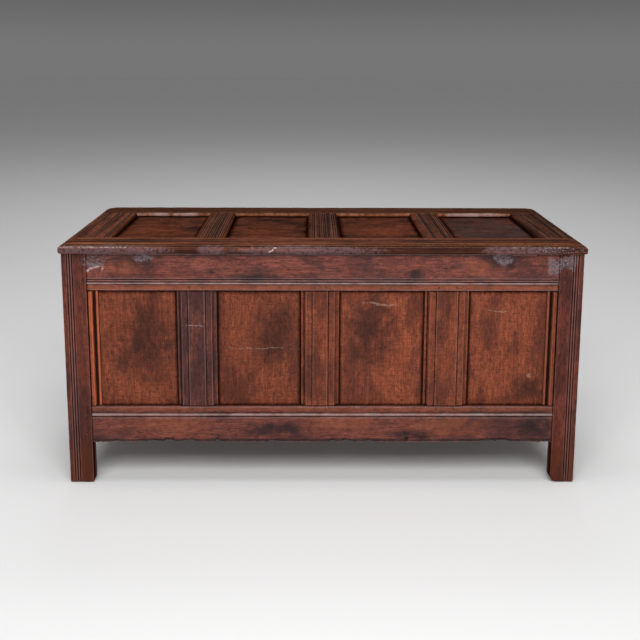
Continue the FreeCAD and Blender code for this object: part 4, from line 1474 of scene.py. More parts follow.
    def _mark_places(self, mesh: Mesh, shop: Workshop) -> None:
        """Write the marks that follow from where each point lies.

        Args:
            mesh: The timber's mesh.
            shop: What knows the unwaxed faces.
        """
        places = points_of(mesh)
        set_mark(mesh, GRAIN, grain_of(places, self.axis, TIMBER_LEAN, random.Random(self.node)))
        set_mark(mesh, DRY, shop.dry_share(places))
        set_mark(mesh, TONE, np.full(len(places), self.tone))


@dataclass
class LidRail(Timber):
    """A lid rail, whose ends carry on the stiles' nosing round the corners of the lid.

    The nosing needs a section at each of the end reaches, which are millimetres from an end.
    """

    stile: str = "lid_left_stile"
    edge: float = 0.0
    corner: float = 5.0 * MM
    nosing: float = 30.0 * MM
    end_reaches: tuple[float, ...] = (0.35, 0.6, 1.0, 2.0, 3.0, 4.0, 5.5, 7.0, 8.4, 9.0, 9.45, 9.55, 12.0,
                                      15.0, 18.0, 21.0, 24.0, 27.4, 28.5, 31.0, 35.0)
    inner_reach: float = 40 * MM

    def stations(self) -> np.ndarray:
        """Find where the section is drawn.

        Returns:
            Places along the rail, closer together through the nosing at both ends.
        """
        low, high = self.span
        reach = np.array(self.end_reaches) * MM
        count = math.ceil((high - low) / self.step)
        inner = np.linspace(low + self.inner_reach, high - self.inner_reach, count)
        return np.concatenate([low + reach, inner, (high - reach)[::-1]])

    def shape(self, places: np.ndarray) -> np.ndarray:
        """Trim the ends to the nosing and to the round corners in plan.

        Args:
            places: The points, as stations by section points.

        Returns:
            The points with their ends trimmed.
        """
        profile = slice_loop(self.stile, Axis.Y, LID_STATION)
        outer = profile[:, 1].min()
        shaped = places.copy()
        for row in shaped:
            reach = min(row[0, 0] - self.span[0], self.span[1] - row[0, 0])
            if reach < self.nosing:
                low, high = self._levels(profile, outer + reach)
                row[:, 2] = np.clip(row[:, 2], low, high)
            if reach < self.corner:
                inner = self.edge - math.copysign(set_back(reach, self.corner), self.edge)
                row[:, 1] = np.minimum(row[:, 1], inner) if self.edge > 0 else np.maximum(row[:, 1], inner)
        return shaped

    @staticmethod
    def _levels(profile: np.ndarray, place: float) -> tuple[float, float]:
        """Measure a section at a place across it.

        Args:
            profile: The section, as levels and places across.
            place: The place.

        Returns:
            The lowest and the highest level.
        """
        levels = []
        for (z1, x1), (z2, x2) in zip(profile, np.roll(profile, -1, axis=0)):
            if (x1 > place) != (x2 > place):
                levels.append(z1 + (z2 - z1) * (place - x1) / (x2 - x1))
        return min(levels), max(levels)

    def _end_share(self, stations: np.ndarray) -> np.ndarray:
        """No joint lies at the ends of a lid rail."""
        return np.zeros(len(stations))


@dataclass
class PanelBoard:
    """A thin riven panel: a planed face, and a back bevelled to a tongue all round.

    Each edge is darkened, by dirt and painted shade, with its own strength and width in millimetres: low and
    high along the first direction across the face, then low and high along the second.
    """

    node: str
    face: Axis
    outward: int
    grain: Axis
    finish: Finish
    body: Body = Body.CASE
    slot: Slot = Slot.CASE
    tone: float = 1.0
    entry: float = 8.5 * MM
    tongue: float = 7.1 * MM
    bevel: float = 34.0 * MM
    step: float = 6.0 * MM
    # Dirt and painted shade at each edge, darkest beside the mouldings and under the rail
    edge_dirt_and_shade: tuple[tuple[float, float], ...] = ((0.6, 4.0), (0.95, 7.0), (1.0, 6.0), (1.0, 6.0))

    def build(self, shop: Workshop) -> None:
        """Make the panel, wear it and hang it on its body.

        Args:
            shop: The shared materials and wear.
        """
        low, high = (np.array(corner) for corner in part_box(self.node))
        first, second = self.face.plane
        lines = [np.linspace(low[axis], high[axis], max(3, math.ceil((high[axis] - low[axis]) / self.step)))
                 for axis in (first, second)]
        across, up = (values.ravel() for values in np.meshgrid(*lines, indexing="ij"))
        reaches = np.stack([across - low[first], high[first] - across, up - low[second], high[second] - up])
        reaches = np.clip(reaches - self.entry, 0, None)
        total = high[self.face.value] - low[self.face.value]
        thick = self.tongue + (total - self.tongue) * np.clip(reaches.min(0) / self.bevel, 0, 1)
        level = high[self.face.value] if self.outward > 0 else low[self.face.value]
        places = np.empty((2, len(across), 3))
        places[:, :, first] = across
        places[:, :, second] = up
        places[0, :, self.face.value] = level
        places[1, :, self.face.value] = level - self.outward * thick
        mesh = bpy.data.meshes.new(f"{self.node}_oak")
        mesh.from_pydata(places.reshape(-1, 3).tolist(), [], self._faces(len(lines[0]), len(lines[1])))
        self._mark_sides(mesh, reaches)
        source = random.Random(self.node)
        set_mark(mesh, GRAIN, grain_of(points_of(mesh), self.grain, PANEL_LEAN, source))
        made = link_object(f"{self.node}_oak", mesh)
        seed = source.uniform(0, SEED_SPAN)
        shop.wear.apply(made, shop.materials[self.finish], *astuple(Exposure.RIVEN.value), seed)
        shop.release(made, self.body.value, self.slot.value, self.node)

    def _mark_sides(self, mesh: Mesh, reaches: np.ndarray) -> None:
        """Write the marks that tell the waxed face, with dirt and painted shade at its edges, from the bare
        back.

        Args:
            mesh: The panel's mesh.
            reaches: How far each point of the face lies from each of its four edges.
        """
        none = np.zeros(reaches.shape[1])
        dirt_and_shade = np.max([strength * np.exp(-reach / (width * MM))
                        for reach, (strength, width) in zip(reaches, self.edge_dirt_and_shade)], axis=0)
        marks = {ARRIS: (none, none), CREST: (none, none), DIRT_AND_SHADE: (dirt_and_shade, none), DRY: (none, none + 1),
                 TONE: (none + self.tone, none + self.tone)}
        for name, sides in marks.items():
            set_mark(mesh, name, np.concatenate(sides))

    def _faces(self, across: int, up: int) -> list[list[int]]:
        """Quads of both faces and of the rim between them.

        Args:
            across: How many points lie across a face.
            up: How many lie up it.

        Returns:
            The points of each quad.
        """
        index = np.arange(across * up).reshape(across, up)
        near = np.stack([index[:-1, :-1], index[1:, :-1], index[1:, 1:], index[:-1, 1:]], -1).reshape(-1, 4)
        rim = np.concatenate([index[:, 0], index[-1, 1:], index[-2::-1, -1], index[0, -2:0:-1]])
        after = np.roll(rim, -1)
        side = np.stack([rim, rim + across * up, after + across * up, after], 1)
        quads = np.concatenate([near, near[:, ::-1] + across * up, side])
        return (quads if self.outward > 0 else quads[:, ::-1]).tolist()


def solid_points(node: str) -> list[np.ndarray]:
    """Take a node apart into its solids.

    Args:
        node: The node.

    Returns:
        The points of each separate solid.
    """
    surface = merged_copy(node)
    solids = []
    seen: set = set()
    for start in surface.verts:
        if start in seen:
            continue
        seen.add(start)
        group = [start]
        for vert in group:
            for edge in vert.link_edges:
                other = edge.other_vert(vert)
                if other not in seen:
                    seen.add(other)
                    group.append(other)
        solids.append(np.array([vert.co[:] for vert in group]))
    surface.free()
    return solids


class DrivenTree(MeshTree):
    """Geometry nodes that drive a small turned thing, a peg or a nail, into each point the way it points."""

    INPUTS = ("Radius", "Proud", "Reach", "Dome", "Facet", "Seed")
    STEM_STEPS = 3
    END_RINGS = 4
    RING_START_SHARE = 0.55
    FACET_LENGTH = 3 * MM
    LEAST_SIZE = 0.86
    TURN_SEED = 4
    SIZE_SEED = 9

    def __init__(self, name: str, sides: int, taper_share: float) -> None:
        """Build the tree.

        Args:
            name: The tree's name.
            sides: How many facets go round.
            taper_share: How wide the outer end is, as a share of the inner end.
        """
        super().__init__(name)
        given = add_node(self.tree, "NodeGroupInput")
        stem = self._stem(given, sides, taper_share)
        self._close(given, self._driven(given.outputs["Geometry"], stem))

    def _stem(self, given: Node, sides: int, taper_share: float) -> Node:
        """Shape one peg or nail.

        Args:
            given: The tree's inputs.
            sides: How many facets go round.
            taper_share: How wide the outer end is, as a share of the inner end.

        Returns:
            The node that gives the shape, upright at the origin.
        """
        add = partial(add_node, self.tree)
        size = given.outputs
        top = add(MATH, {0: size["Radius"], 1: taper_share}, operation="MULTIPLY")
        depth = add(MATH, {0: size["Proud"], 1: size["Reach"]}, operation="ADD")
        stem = add("GeometryNodeMeshCone", {"Vertices": sides, "Side Segments": self.STEM_STEPS,
                                            "Fill Segments": self.END_RINGS, "Radius Top": top,
                                            "Radius Bottom": size["Radius"], "Depth": depth})
        place = add("GeometryNodeInputPosition")
        parts = add("ShaderNodeSeparateXYZ", {0: place})
        flat = add("ShaderNodeCombineXYZ", {0: parts.outputs[0], 1: parts.outputs[1]})
        out = add(VECTOR_MATH, {0: flat}, operation="LENGTH").outputs["Value"]
        share = add(MATH, {0: out, 1: size["Radius"]}, operation="DIVIDE")
        ease = {"Value": share, "From Min": self.RING_START_SHARE * taper_share, "From Max": 1.0}
        rim = add(MAP_RANGE, ease, interpolation_type="SMOOTHSTEP")
        marked = add("GeometryNodeStoreNamedAttribute", {"Geometry": stem, "Name": RIM, "Value": rim},
                     data_type="FLOAT", domain="POINT")
        square = add(MATH, {0: share, 1: 2.0}, operation="POWER")
        fall = add(MATH, {0: square, 1: size["Dome"]}, operation="MULTIPLY")
        down = add(MATH, {0: size["Reach"], 1: fall}, operation="ADD")
        lift = add(MATH, {0: down, 1: -1.0}, operation="MULTIPLY")
        source = {"Vector": place, "W": size["Seed"], "Scale": 1 / self.FACET_LENGTH, "Detail": 0.0}
        turn = add(NOISE, source, noise_dimensions="4D")
        less = add(MATH, {0: turn, 1: size["Facet"]}, operation="MULTIPLY")
        pull = add(MATH, {0: less, 1: -1.0}, operation="MULTIPLY")
        inward = add(VECTOR_MATH, {0: flat, "Scale": pull}, operation="SCALE")
        drop = add("ShaderNodeCombineXYZ", {2: lift})
        offset = add(VECTOR_MATH, {0: inward, 1: drop}, operation="ADD")
        return add("GeometryNodeSetPosition", {"Geometry": marked, "Offset": offset})

    def _driven(self, points: NodeSocket, stem: Node) -> Node:
        """Set a peg or a nail at each point, turned at random and not quite of one size.

        Args:
            points: The points, which carry the way out.
            stem: The node that gives the shape.

        Returns:
            The node that gives them all.
        """
        add = partial(add_node, self.tree)
        way = add("GeometryNodeInputNamedAttribute", {"Name": OUT}, data_type="FLOAT_VECTOR")
        aim = add("FunctionNodeAlignRotationToVector", {"Vector": way}, axis="Z")
        roll = add("FunctionNodeRandomValue", {RANDOM_LOW: 0.0, RANDOM_HIGH: math.tau,
                                               "Seed": self.TURN_SEED}, data_type="FLOAT")
        spin = add("FunctionNodeAxisAngleToRotation", {"Axis": (0.0, 0.0, 1.0),
                                                       "Angle": roll.outputs[RANDOM_RESULT]})
        turned = add("FunctionNodeRotateRotation", {"Rotation": aim, "Rotate By": spin},
                     rotation_space="LOCAL")
        grow = add("FunctionNodeRandomValue", {RANDOM_LOW: self.LEAST_SIZE, RANDOM_HIGH: 1.0,
                                               "Seed": self.SIZE_SEED}, data_type="FLOAT")
        return add("GeometryNodeInstanceOnPoints", {"Points": points, "Instance": stem, "Rotation": turned,
                                                    "Scale": grow.outputs[RANDOM_RESULT]})


@dataclass
class DrivenSet:
    """All the pegs or nails of one node, driven at the places of its solids.

    Upward tells which end of an upright one shows. One that lies flat shows the end away from the middle.
    """

    node: str
    finish: Finish
    body: Body
    slot: Slot
    tree: DrivenTree
    upward: int = 1
    radius: float = 3.75 * MM
    proud: float = 0.55 * MM
    reach: float = 6.0 * MM
    dome: float = 0.5 * MM
    facet: float = 0.16

    def build(self, shop: Workshop) -> None:
        """Drive the set and hang it on its body.

        Args:
            shop: The shared materials.
        """
        heads, ways = [], []
        for points in solid_points(self.node):
            low, high = points.min(0), points.max(0)
            axis = int(np.argmax(high - low))
            head = (low + high) / 2
            way = np.zeros(3)
            way[axis] = self.upward if axis == Axis.Z.value else math.copysign(1, head[axis])
            head[axis] = high[axis] if way[axis] > 0 else low[axis]
            heads.append(head - way * self.proud)
            ways.append(way)
        mesh = bpy.data.meshes.new(f"{self.node}_driven")
        mesh.from_pydata([tuple(head) for head in heads], [], [])
        set_mark(mesh, OUT, np.array(ways))
        made = link_object(f"{self.node}_driven", mesh)
        seed = random.Random(self.node).uniform(0, SEED_SPAN)
        self.tree.apply(made, shop.materials[self.finish], self.radius, self.proud, self.reach, self.dome,
                        self.facet, seed)
        shop.release(made, self.body.value, self.slot.value, self.node)


def edges(node: str, axis: Axis) -> tuple[float, float]:
    """Lowest and highest place of a node along a direction."""
    low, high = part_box(node)
    return low[axis.value], high[axis.value]


def middle(node: str, axis: Axis) -> float:
    """The middle of a node along a direction."""
    return sum(edges(node, axis)) / 2


def room_between(first: str, second: str, axis: Axis) -> tuple[float, float]:
    """Where the room between two nodes starts and ends along a direction."""
    return edges(first, axis)[1], edges(second, axis)[0]


@dataclass
class SubAssembly:
    """A part of the chest, made with what the workshop holds."""

    shop: Workshop


@dataclass
class CaseFront(SubAssembly):
    """The front of the case: posts, rails, muntins, panels, planted slips and let-in patches."""

    foot_round: float = 6.5 * MM
    patch_gap: float = 0.25 * MM
    panel_tones: tuple[float, ...] = (0.87, 0.82, 1.04, 0.97)
    muntin_tones: tuple[float, ...] = (0.68, 0.87, 0.89)
    slip_tones: tuple[float, float] = (1.0, 0.58)
    kick: tuple[Bruise, ...] = bruises_mm(((611, -255, 0), (14, 60, 16), (6, 0, 3)))
    scoops: tuple[Bruise, ...] = bruises_mm(
        ((-464, RAIL_FACE, 612), (32, 30, 16), (0, 4.2, -1)),
        ((459, RAIL_FACE, 613), (32, 30, 15), (0, 3.6, -1)),
        ((-570, RAIL_FACE, 592), (22, 30, 14), (0, 2.2, 0)),
        ((596, RAIL_FACE, 604), (16, 30, 18), (0, 2.0, 0)),
    )
    hole: tuple[Bruise, ...] = bruises_mm(((223, RAIL_FACE, 124), (5, 30, 5), (0, 9, 0)))

    def build(self) -> None:
        """Make every piece of the front."""
        self._posts()
        self._rails()
        self._muntins()
        self._panels()

    def _posts(self) -> None:
        """Make the reeded posts with their worn feet."""
        for side, bruises in zip(SIDES, ((), self.kick)):
            node = f"front_{side}_post"
            slip = f"front_{side}_moulding_slip"
            Timber(node, Axis.Z, LEG_STATION, edges(node, Axis.Z), Finish.POST, beside=(slip,),
                   beside_station=middle(slip, Axis.Z), exposure=Exposure.BATTERED, radius=2.2 * MM,
                   step=5 * MM, start_round=self.foot_round, end_grime=0.15, bruises=bruises).build(self.shop)

    def _rails(self) -> None:
        """Make the top and bottom rail between the posts, and the patches in the top edge."""
        span = room_between("front_left_post", "front_right_post", Axis.X)
        panel = "front_centre_left_panel"
        station = middle(panel, Axis.X)
        patches = [f"front_{side}_rail_patch" for side in SIDES]
        gap = Vector((self.patch_gap,) * 3)
        recesses = []
        for patch in patches:
            low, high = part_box(patch)
            recesses.append((low - Vector((0, OVERSHOOT, 0)) - gap, high + Vector((0, 0, OVERSHOOT)) + gap))
        Timber("front_top_rail", Axis.X, station, span, Finish.CASE, beside=(panel,), step=5 * MM,
               bruises=self.scoops, recesses=tuple(recesses)).build(self.shop)
        Timber("front_bottom_rail", Axis.X, station, span, Finish.CASE, beside=(panel,), tone=0.85,
               step=3.5 * MM, ragged=11 * MM, bruises=self.hole).build(self.shop)
        # The let-in patches are toned much lighter: a painted highlight on their edge, which shows in the
        # shade under the lid
        for patch in patches:
            Timber(patch, Axis.X, middle(patch, Axis.X), edges(patch, Axis.X), Finish.CASE, slot=Slot.SLIPS,
                   tone=1.9, radius=0.8 * MM, step=3 * MM).build(self.shop)

    def _muntins(self) -> None:
        """Make the moulded muntins, and the slips planted beside the posts."""
        span = room_between("front_bottom_rail", "front_top_rail", Axis.Z)
        level = sum(span) / 2
        panels = [f"front_{place}_panel" for place in PANEL_PLACES]
        for index, place in enumerate(("left", "centre", "right")):
            Timber(f"front_{place}_muntin", Axis.Z, level, span, Finish.PANEL if index else Finish.CASE,
                   beside=tuple(panels[index:index + 2]), tone=self.muntin_tones[index], radius=1.1 * MM,
                   step=5 * MM).build(self.shop)
        for side, panel, tone in zip(SIDES, (panels[0], panels[-1]), self.slip_tones):
            Timber(f"front_{side}_moulding_slip", Axis.Z, level, span, Finish.SLIP, slot=Slot.SLIPS,
                   beside=(panel, f"front_{side}_post"), exposure=Exposure.SHELTERED, radius=0.9 * MM,
                   step=5 * MM, tone=tone).build(self.shop)

    def _panels(self) -> None:
        """Make the four upright panels."""
        for place, tone in zip(PANEL_PLACES, self.panel_tones):
            PanelBoard(f"front_{place}_panel", Axis.Y, -1, Axis.Z, Finish.PANEL, tone=tone,
                       step=5 * MM).build(self.shop)


@dataclass
class CaseEnd(SubAssembly):
    """One end of the case: two moulded rails, a muntin and two panels."""

    side: str
    outward: int
    tone: float = 0.95

    def build(self) -> None:
        """Make every piece of the end."""
        name = f"{self.side}_end"
        span = room_between(f"front_{self.side}_post", f"back_{self.side}_post", Axis.Y)
        panels = [f"{name}_{place}_panel" for place in ("front", "back")]
        station = middle(panels[0], Axis.Y)
        for rail, ragged in (("top", 0.0), ("bottom", 3 * MM)):
            Timber(f"{name}_{rail}_rail", Axis.Y, station, span, Finish.CASE, beside=(panels[0],),
                   ragged=ragged, tone=self.tone).build(self.shop)
        height = room_between(f"{name}_bottom_rail", f"{name}_top_rail", Axis.Z)
        Timber(f"{name}_muntin", Axis.Z, sum(height) / 2, height, Finish.CASE, beside=tuple(panels),
               radius=1.1 * MM).build(self.shop)
        for panel in panels:
            PanelBoard(panel, Axis.X, self.outward, Axis.Z, Finish.PANEL, tone=self.tone).build(self.shop)


@dataclass
class CaseBack(SubAssembly):
    """The plain back, its posts, and the bottom boards, all left from the saw and the plane."""

    post_gap: float = 0.8 * MM
    strap_gap: float = 0.8 * MM
    strap_notch: float = 3.3 * MM
    boards: int = 4
    step: float = 8 * MM
    board_tones: tuple[float, ...] = (0.9, 0.96, 1.02)

    def build(self) -> None:
        """Make every piece of the back and the bottom."""
        for side in SIDES:
            node = f"back_{side}_post"
            Timber(node, Axis.Z, LEG_STATION, edges(node, Axis.Z), Finish.POST, radius=2.0 * MM,
                   start_round=3 * MM).build(self.shop)
        span = room_between("back_left_post", "back_right_post", Axis.X)
        for rail, recesses in (("top", self._strap_notches()), ("bottom", ())):
            Timber(f"back_{rail}_rail", Axis.X, 0.0, span, Finish.BACK, slot=Slot.BACK,
                   beside=("back_centre_panel",), recesses=recesses, step=self.step).build(self.shop)
        height = room_between("back_bottom_rail", "back_top_rail", Axis.Z)
        for side in SIDES:
            Timber(f"back_{side}_muntin", Axis.Z, sum(height) / 2, height, Finish.BACK, slot=Slot.BACK,
                   beside=(f"back_{side}_panel", "back_centre_panel"), step=self.step).build(self.shop)
        for place in ("left", "centre", "right"):
            PanelBoard(f"back_{place}_panel", Axis.Y, 1, Axis.Z, Finish.BACK, slot=Slot.BACK,
                       step=self.step).build(self.shop)
        self._boards()

    def _strap_notches(self) -> tuple:
        """Find where the hinges are let into the back rail.

        Returns:
            The lowest and highest corner of each notch.
        """
        front, back = edges("back_top_rail", Axis.Y)
        top = edges("back_top_rail", Axis.Z)[1]
        notches = []
        for side in SIDES:
            left, right = edges(f"{side}_hinge_back_strap", Axis.X)
            notches.append(((left - self.strap_gap, front - OVERSHOOT, top - self.strap_notch),
                            (right + self.strap_gap, back + OVERSHOOT, top + OVERSHOOT)))
        return tuple(notches)

    def _boards(self) -> None:
        """Make the bottom boards, the outer two cut round the posts."""
        gap = Vector((self.post_gap,) * 3)
        posts = []
        for post in ("front_left_post", "front_right_post", "back_left_post", "back_right_post"):
            low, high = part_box(post)
            posts.append((low - gap, high + gap))
        for index in range(1, self.boards + 1):
            node = f"bottom_board_{index}"
            left, right = edges(node, Axis.X)
            near = tuple(box for box in posts if box[0].x < right and box[1].x > left)
            Timber(node, Axis.Y, 0.0, edges(node, Axis.Y), Finish.BACK, slot=Slot.BACK, recesses=near,
                   tone=self.board_tones[index % len(self.board_tones)], radius=0.8 * MM, step=9 * MM,
                   exposure=Exposure.SHELTERED).build(self.shop)


@dataclass
class Lid(SubAssembly):
    """The panelled lid: rails, stiles, muntins and sunk panels."""

    cope: float = 7.5 * MM
    back_corner: float = 24 * MM
    front_corner: float = 5 * MM
    tongue: float = 5.6 * MM
    bevel: float = 26 * MM
    step: float = 5 * MM
    look_reaches: tuple[float, float] = (2.6 * MM, 4.0 * MM)
    groove_width: float = 2.2 * MM
    back_tone: float = 0.85
    panel_tones: tuple[float, ...] = (0.86, 0.8, 0.86, 0.74)
    bar_tones: tuple[float, ...] = (1.05, 0.93, 0.73, 0.8, 0.65)
    # Dirt and painted shade at the edges of the lid panels, beside the bars' shaded flanks
    panel_grime: tuple[tuple[float, float], ...] = ((0.9, 9.0), (0.8, 7.0), (0.5, 6.0), (0.75, 16.0))
    # Strength of the painted shade on each bar's low and high flank, beside the panels
    flanks: tuple[tuple[float, float], ...] = ((0.0, 0.7), (0.5, 0.7), (0.6, 0.6), (0.5, 0.6), (0.7, 0.0))
    chips: tuple[Bruise, ...] = bruises_mm(
        ((-462, NOSING_FACE, 638), (15, 9, 8), (0, 4.0, 0)),
        ((-430, NOSING_FACE, 645), (16, 8, 6), (0, 2.5, -1)),
        ((-127, NOSING_FACE, 641), (5, 6, 9), (0, 2.0, 0)),
        ((520, NOSING_FACE, 644), (18, 7, 6), (0, 2.4, -1)),
        ((640, NOSING_FACE, 643), (20, 7, 7), (0, 2.6, -1)),
    )

    def build(self) -> None:
        """Make every piece of the lid."""
        panels = [f"lid_{place}_panel" for place in PANEL_PLACES]
        bars = ("left_stile", "left_muntin", "centre_muntin", "right_muntin", "right_stile")
        self._rails(panels[0])
        front, back = room_between("lid_front_rail", "lid_back_rail", Axis.Y)
        for index, bar in enumerate(bars):
            beside = tuple(panels[max(0, index - 1):index + 1])
            Timber(f"lid_{bar}", Axis.Y, LID_STATION, (front - self.cope, back + self.cope), Finish.LID,
                   Body.LID, Slot.LID, beside, radius=1.2 * MM, step=self.step, end_grime=0.55,
                   tone=self.bar_tones[index], look_reaches=self.look_reaches,
                   groove_width=self.groove_width, flank_shade=self.flanks[index]).build(self.shop)
        for panel, tone in zip(panels, self.panel_tones):
            PanelBoard(panel, Axis.Z, 1, Axis.X, Finish.LID_PANEL, Body.LID, Slot.LID, tone,
                       tongue=self.tongue, bevel=self.bevel, step=self.step,
                       edge_dirt_and_shade=self.panel_grime).build(self.shop)

    def _rails(self, panel: str) -> None:
        """Make the front and back rail, from end to end of the lid.

        Args:
            panel: A panel, at whose middle the rails are cut.
        """
        station = middle(panel, Axis.X)
        front, back = edges("lid_front_rail", Axis.Y)[0], edges("lid_back_rail", Axis.Y)[1]
        common = {"body": Body.LID, "slot": Slot.LID, "beside": (panel,), "radius": 1.3 * MM,
                  "step": self.step, "look_reaches": self.look_reaches, "groove_width": self.groove_width}
        LidRail("lid_front_rail", Axis.X, station, edges("lid_front_rail", Axis.X), Finish.LID_FRONT_RAIL,
                exposure=Exposure.BATTERED, bruises=self.chips, edge=front, corner=self.front_corner,
                **common).build(self.shop)
        LidRail("lid_back_rail", Axis.X, station, edges("lid_back_rail", Axis.X), Finish.LID_BACK_RAIL,
                tone=self.back_tone, edge=back, corner=self.back_corner, **common).build(self.shop)


@dataclass
class Fixings(SubAssembly):
    """Pegs, nails and the two strap hinges."""

    peg_sides: int = 9
    peg_taper: float = 0.97
    nail_sides: int = 7
    nail_taper: float = 0.35
    nail_radius: float = 4.5 * MM
    nail_head: float = 2.0 * MM
    nail_reach: float = 0.5 * MM
    nail_facet: float = 0.3
    strap_bevel: float = 0.5 * MM
    strap_doubles: float = 0.01 * MM

    def build(self) -> None:
        """Make the pegs and nails, and dress the hinges."""
        pegs = DrivenTree("riven_pegs", self.peg_sides, self.peg_taper)
        nails = DrivenTree("rose_head_nails", self.nail_sides, self.nail_taper)
        for node, body in (("front_pegs", Body.CASE), ("end_and_back_pegs", Body.CASE),
                           ("lid_pegs", Body.LID)):
            DrivenSet(node, Finish.PEG, body, Slot.PEGS, pegs).build(self.shop)
        for node, body in (("bottom_board_nails", Body.CASE), ("back_strap_nails", Body.CASE),
                           ("lid_strap_nails", Body.LID)):
            DrivenSet(node, Finish.IRON, body, Slot.IRON, nails, upward=-1, radius=self.nail_radius,
                      proud=self.nail_head, reach=self.nail_reach, dome=0.0,
                      facet=self.nail_facet).build(self.shop)
        hinges = [f"{side}_hinge_{leaf}_strap" for side in SIDES for leaf in ("lid", "back")]
        for node in (*hinges, "hinge_pins"):
            self._dress(frame["nodes"][node], self.shop.materials[Finish.IRON])

    def _dress(self, part: Object, iron: Material) -> None:
        """Ease the edges of an iron part and give it its finish.

        Args:
            part: The part, which is a node of the frame.
            iron: The finish.
        """
        weld = part.modifiers.new("joined", "WELD")
        weld.merge_threshold = self.strap_doubles
        bevel = part.modifiers.new("eased", "BEVEL")
        bevel.width = self.strap_bevel
        bevel.segments = 2
        bevel.limit_method = "ANGLE"
        bevel.angle_limit = SHADE_ANGLE
        part.data.materials.clear()
        part.data.materials.append(iron)
        LOG.info("%s: dressed as iron", part.name)


@dataclass(frozen=True)
class Lamp:
    """A soft box: where it stands, its size and its power."""

    name: str
    place: tuple[float, float, float]
    size: tuple[float, float]
    watts: float
    aim: tuple[float, float, float] = (0.0, 0.0, 0.35)


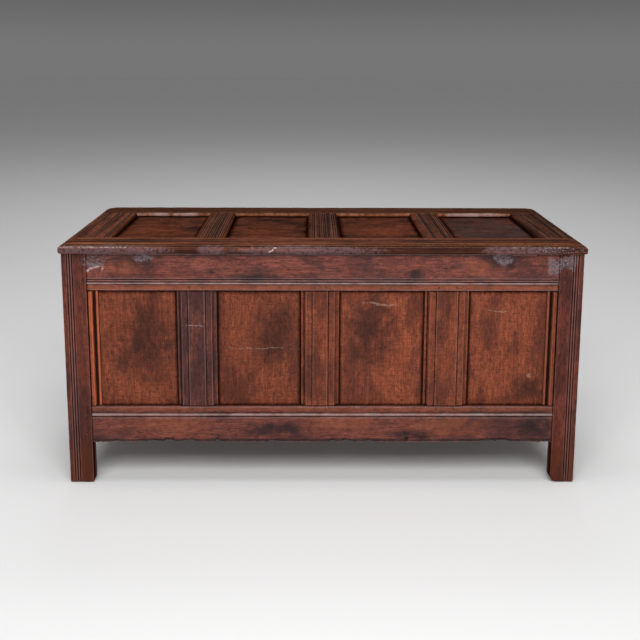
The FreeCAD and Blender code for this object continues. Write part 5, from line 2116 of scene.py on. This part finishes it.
@dataclass
class Studio:
    """A pale floor, soft boxes in front and a camera at the photograph's angle.

    The backdrop runs from the horizon to the wall and on to the ceiling, each over a range of the upward part
    of the way that is looked.
    """

    camera_place: tuple[float, float, float] = (-0.030, -2.571, 1.131)
    yaw: float = 0.52
    pitch: float = 9.77
    roll: float = 0.21
    focal_pixels: float = 919.0
    frame_pixels: float = 640.0
    sensor: float = 36.0
    shift: float = -0.17
    floor_radius: float = 40.0
    paper: str = "#E6E6E6"
    ambient: float = 0.23
    horizon: str = "#767676"
    wall: str = "#646464"
    wall_rise: tuple[float, float] = (0.0, 0.07)
    ceiling: str = "#2A2A2A"
    ceiling_rise: tuple[float, float] = (0.08, 0.45)
    lamps: tuple[Lamp, ...] = (
        Lamp("front_box", (0.0, -3.6, 3.4), (4.6, 2.0), 186.0),
        Lamp("low_box", (0.0, -3.4, 0.9), (3.4, 0.8), 24.0),
        Lamp("overhead_box", (0.0, -0.5, 3.6), (2.4, 0.9), 28.0),
        Lamp("backdrop_box", (0.0, 3.4, 5.0), (3.0, 2.0), 66.0, (0.0, 3.8, 0.0)),
    )

    def build(self) -> None:
        """Make the floor, the lamps, the world and the camera."""
        self._floor()
        self._world()
        for lamp in self.lamps:
            self._light(lamp)
        self._camera()

    def _floor(self) -> None:
        """Seamless paper, matt and nearly white."""
        material, tree, place = new_material("seamless_paper")
        tooth = PAPER_TOOTH.draw(tree, place)
        close_surface(tree, linear(self.paper), rough=0.9, height=tooth, shine=0.1, bump=0.02 * MM)
        disc = bmesh.new()
        bmesh.ops.create_circle(disc, cap_ends=True, segments=96, radius=self.floor_radius)
        mesh = bpy.data.meshes.new("studio_floor")
        disc.to_mesh(mesh)
        disc.free()
        mesh.materials.append(material)
        link_object("studio_floor", mesh)

    def _world(self) -> None:
        """Even grey light, and a grey backdrop where the camera or a reflection looks past the floor."""
        world = bpy.data.worlds.new("studio_air")
        world.use_nodes = True
        tree = world.node_tree
        tree.nodes.clear()
        add = partial(add_node, tree)
        sight = add("ShaderNodeLightPath").outputs
        rays = {0: sight["Is Glossy Ray"], 1: sight["Is Transmission Ray"]}
        mirrored = add(MATH, rays, operation="MAXIMUM")
        seen = add(MATH, {0: sight["Is Camera Ray"], 1: mirrored}, operation="MAXIMUM")
        way = add("ShaderNodeTexCoord").outputs["Generated"]
        up = add("ShaderNodeSeparateXYZ", {0: way}).outputs[2]
        backdrop = linear(self.horizon)
        for grey, (low, high) in ((self.wall, self.wall_rise), (self.ceiling, self.ceiling_rise)):
            rise = add(MAP_RANGE, {"Value": up, "From Min": low, "From Max": high},
                       interpolation_type="SMOOTHSTEP")
            mix = {0: rise, MIX_UNDER: backdrop, MIX_OVER: linear(grey)}
            backdrop = add("ShaderNodeMix", mix, data_type="RGBA").outputs[MIX_RESULT]
        mix = {0: seen, MIX_UNDER: (self.ambient,) * 3 + (1.0,), MIX_OVER: backdrop}
        colour = add("ShaderNodeMix", mix, data_type="RGBA").outputs[MIX_RESULT]
        air = add("ShaderNodeBackground", {"Color": colour, "Strength": 1.0})
        add("ShaderNodeOutputWorld", {"Surface": air})
        bpy.context.scene.world = world

    @staticmethod
    def _light(lamp: Lamp) -> None:
        """Set up one soft box.

        Args:
            lamp: The soft box.
        """
        light = bpy.data.lights.new(lamp.name, "AREA")
        light.shape = "RECTANGLE"
        light.size, light.size_y = lamp.size
        light.energy = lamp.watts
        made = bpy.data.objects.new(lamp.name, light)
        made.location = lamp.place
        made.rotation_euler = (Vector(lamp.aim) - Vector(lamp.place)).to_track_quat("-Z", "Y").to_euler()
        bpy.context.scene.collection.objects.link(made)

    def _camera(self) -> None:
        """Set the camera where the photograph was taken."""
        lens = bpy.data.cameras.new("studio_camera")
        lens.sensor_width = self.sensor
        lens.lens = self.focal_pixels / self.frame_pixels * self.sensor
        lens.shift_y = self.shift
        made = bpy.data.objects.new("studio_camera", lens)
        yaw = Matrix.Rotation(math.radians(-self.yaw), 4, "Z")
        pitch = Matrix.Rotation(math.radians(90 - self.pitch), 4, "X")
        roll = Matrix.Rotation(math.radians(self.roll), 4, "Z")
        made.matrix_world = Matrix.Translation(self.camera_place) @ yaw @ pitch @ roll
        bpy.context.scene.collection.objects.link(made)
        bpy.context.scene.camera = made


def inside_of_chest(margin: tuple[float, float, float] = (11 * MM, 16 * MM, 11 * MM)) -> tuple:
    """The box that holds every bare face inside the chest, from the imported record.

    Args:
        margin: How far those faces may lie from the opening's box.

    Returns:
        The lowest and highest corner.
    """
    low, high = frame["record"]["physics"]["openings"][0]["box_m"]
    return np.array(low) - np.array(margin), np.array(high) + np.array(margin)


def under_lid(rim: float = 18 * MM, play: float = 0.6 * MM) -> tuple:
    """The thin box that holds the lid's underside and the edges that it lies on.

    Args:
        rim: How much of the lid's edge hangs outside the box.
        play: How far those faces may lie from the level between them.

    Returns:
        The lowest and highest corner.
    """
    left, right = edges("lid_front_rail", Axis.X)
    front, back = edges("lid_front_rail", Axis.Y)[0], edges("lid_back_rail", Axis.Y)[1]
    level = edges("lid_front_rail", Axis.Z)[0]
    low, high = (left + rim, front + rim, level - play), (right - rim, back - rim, level + play)
    return np.array(low), np.array(high)


def main() -> None:
    """Build the sub-assemblies in order, then the studio."""
    logging.basicConfig(level=logging.INFO, format="%(message)s")
    bpy.context.scene.view_settings.view_transform = "Standard"
    materials = {finish: finish.value.make() for finish in Finish}
    shop = Workshop(materials, WornTimberTree(), (inside_of_chest(), under_lid()))
    parts = (CaseFront(shop), CaseEnd(shop, "left", -1), CaseEnd(shop, "right", 1), CaseBack(shop), Lid(shop),
             Fixings(shop))
    for part in parts:
        part.build()
    Studio().build()


if __name__ == "__main__":
    main()
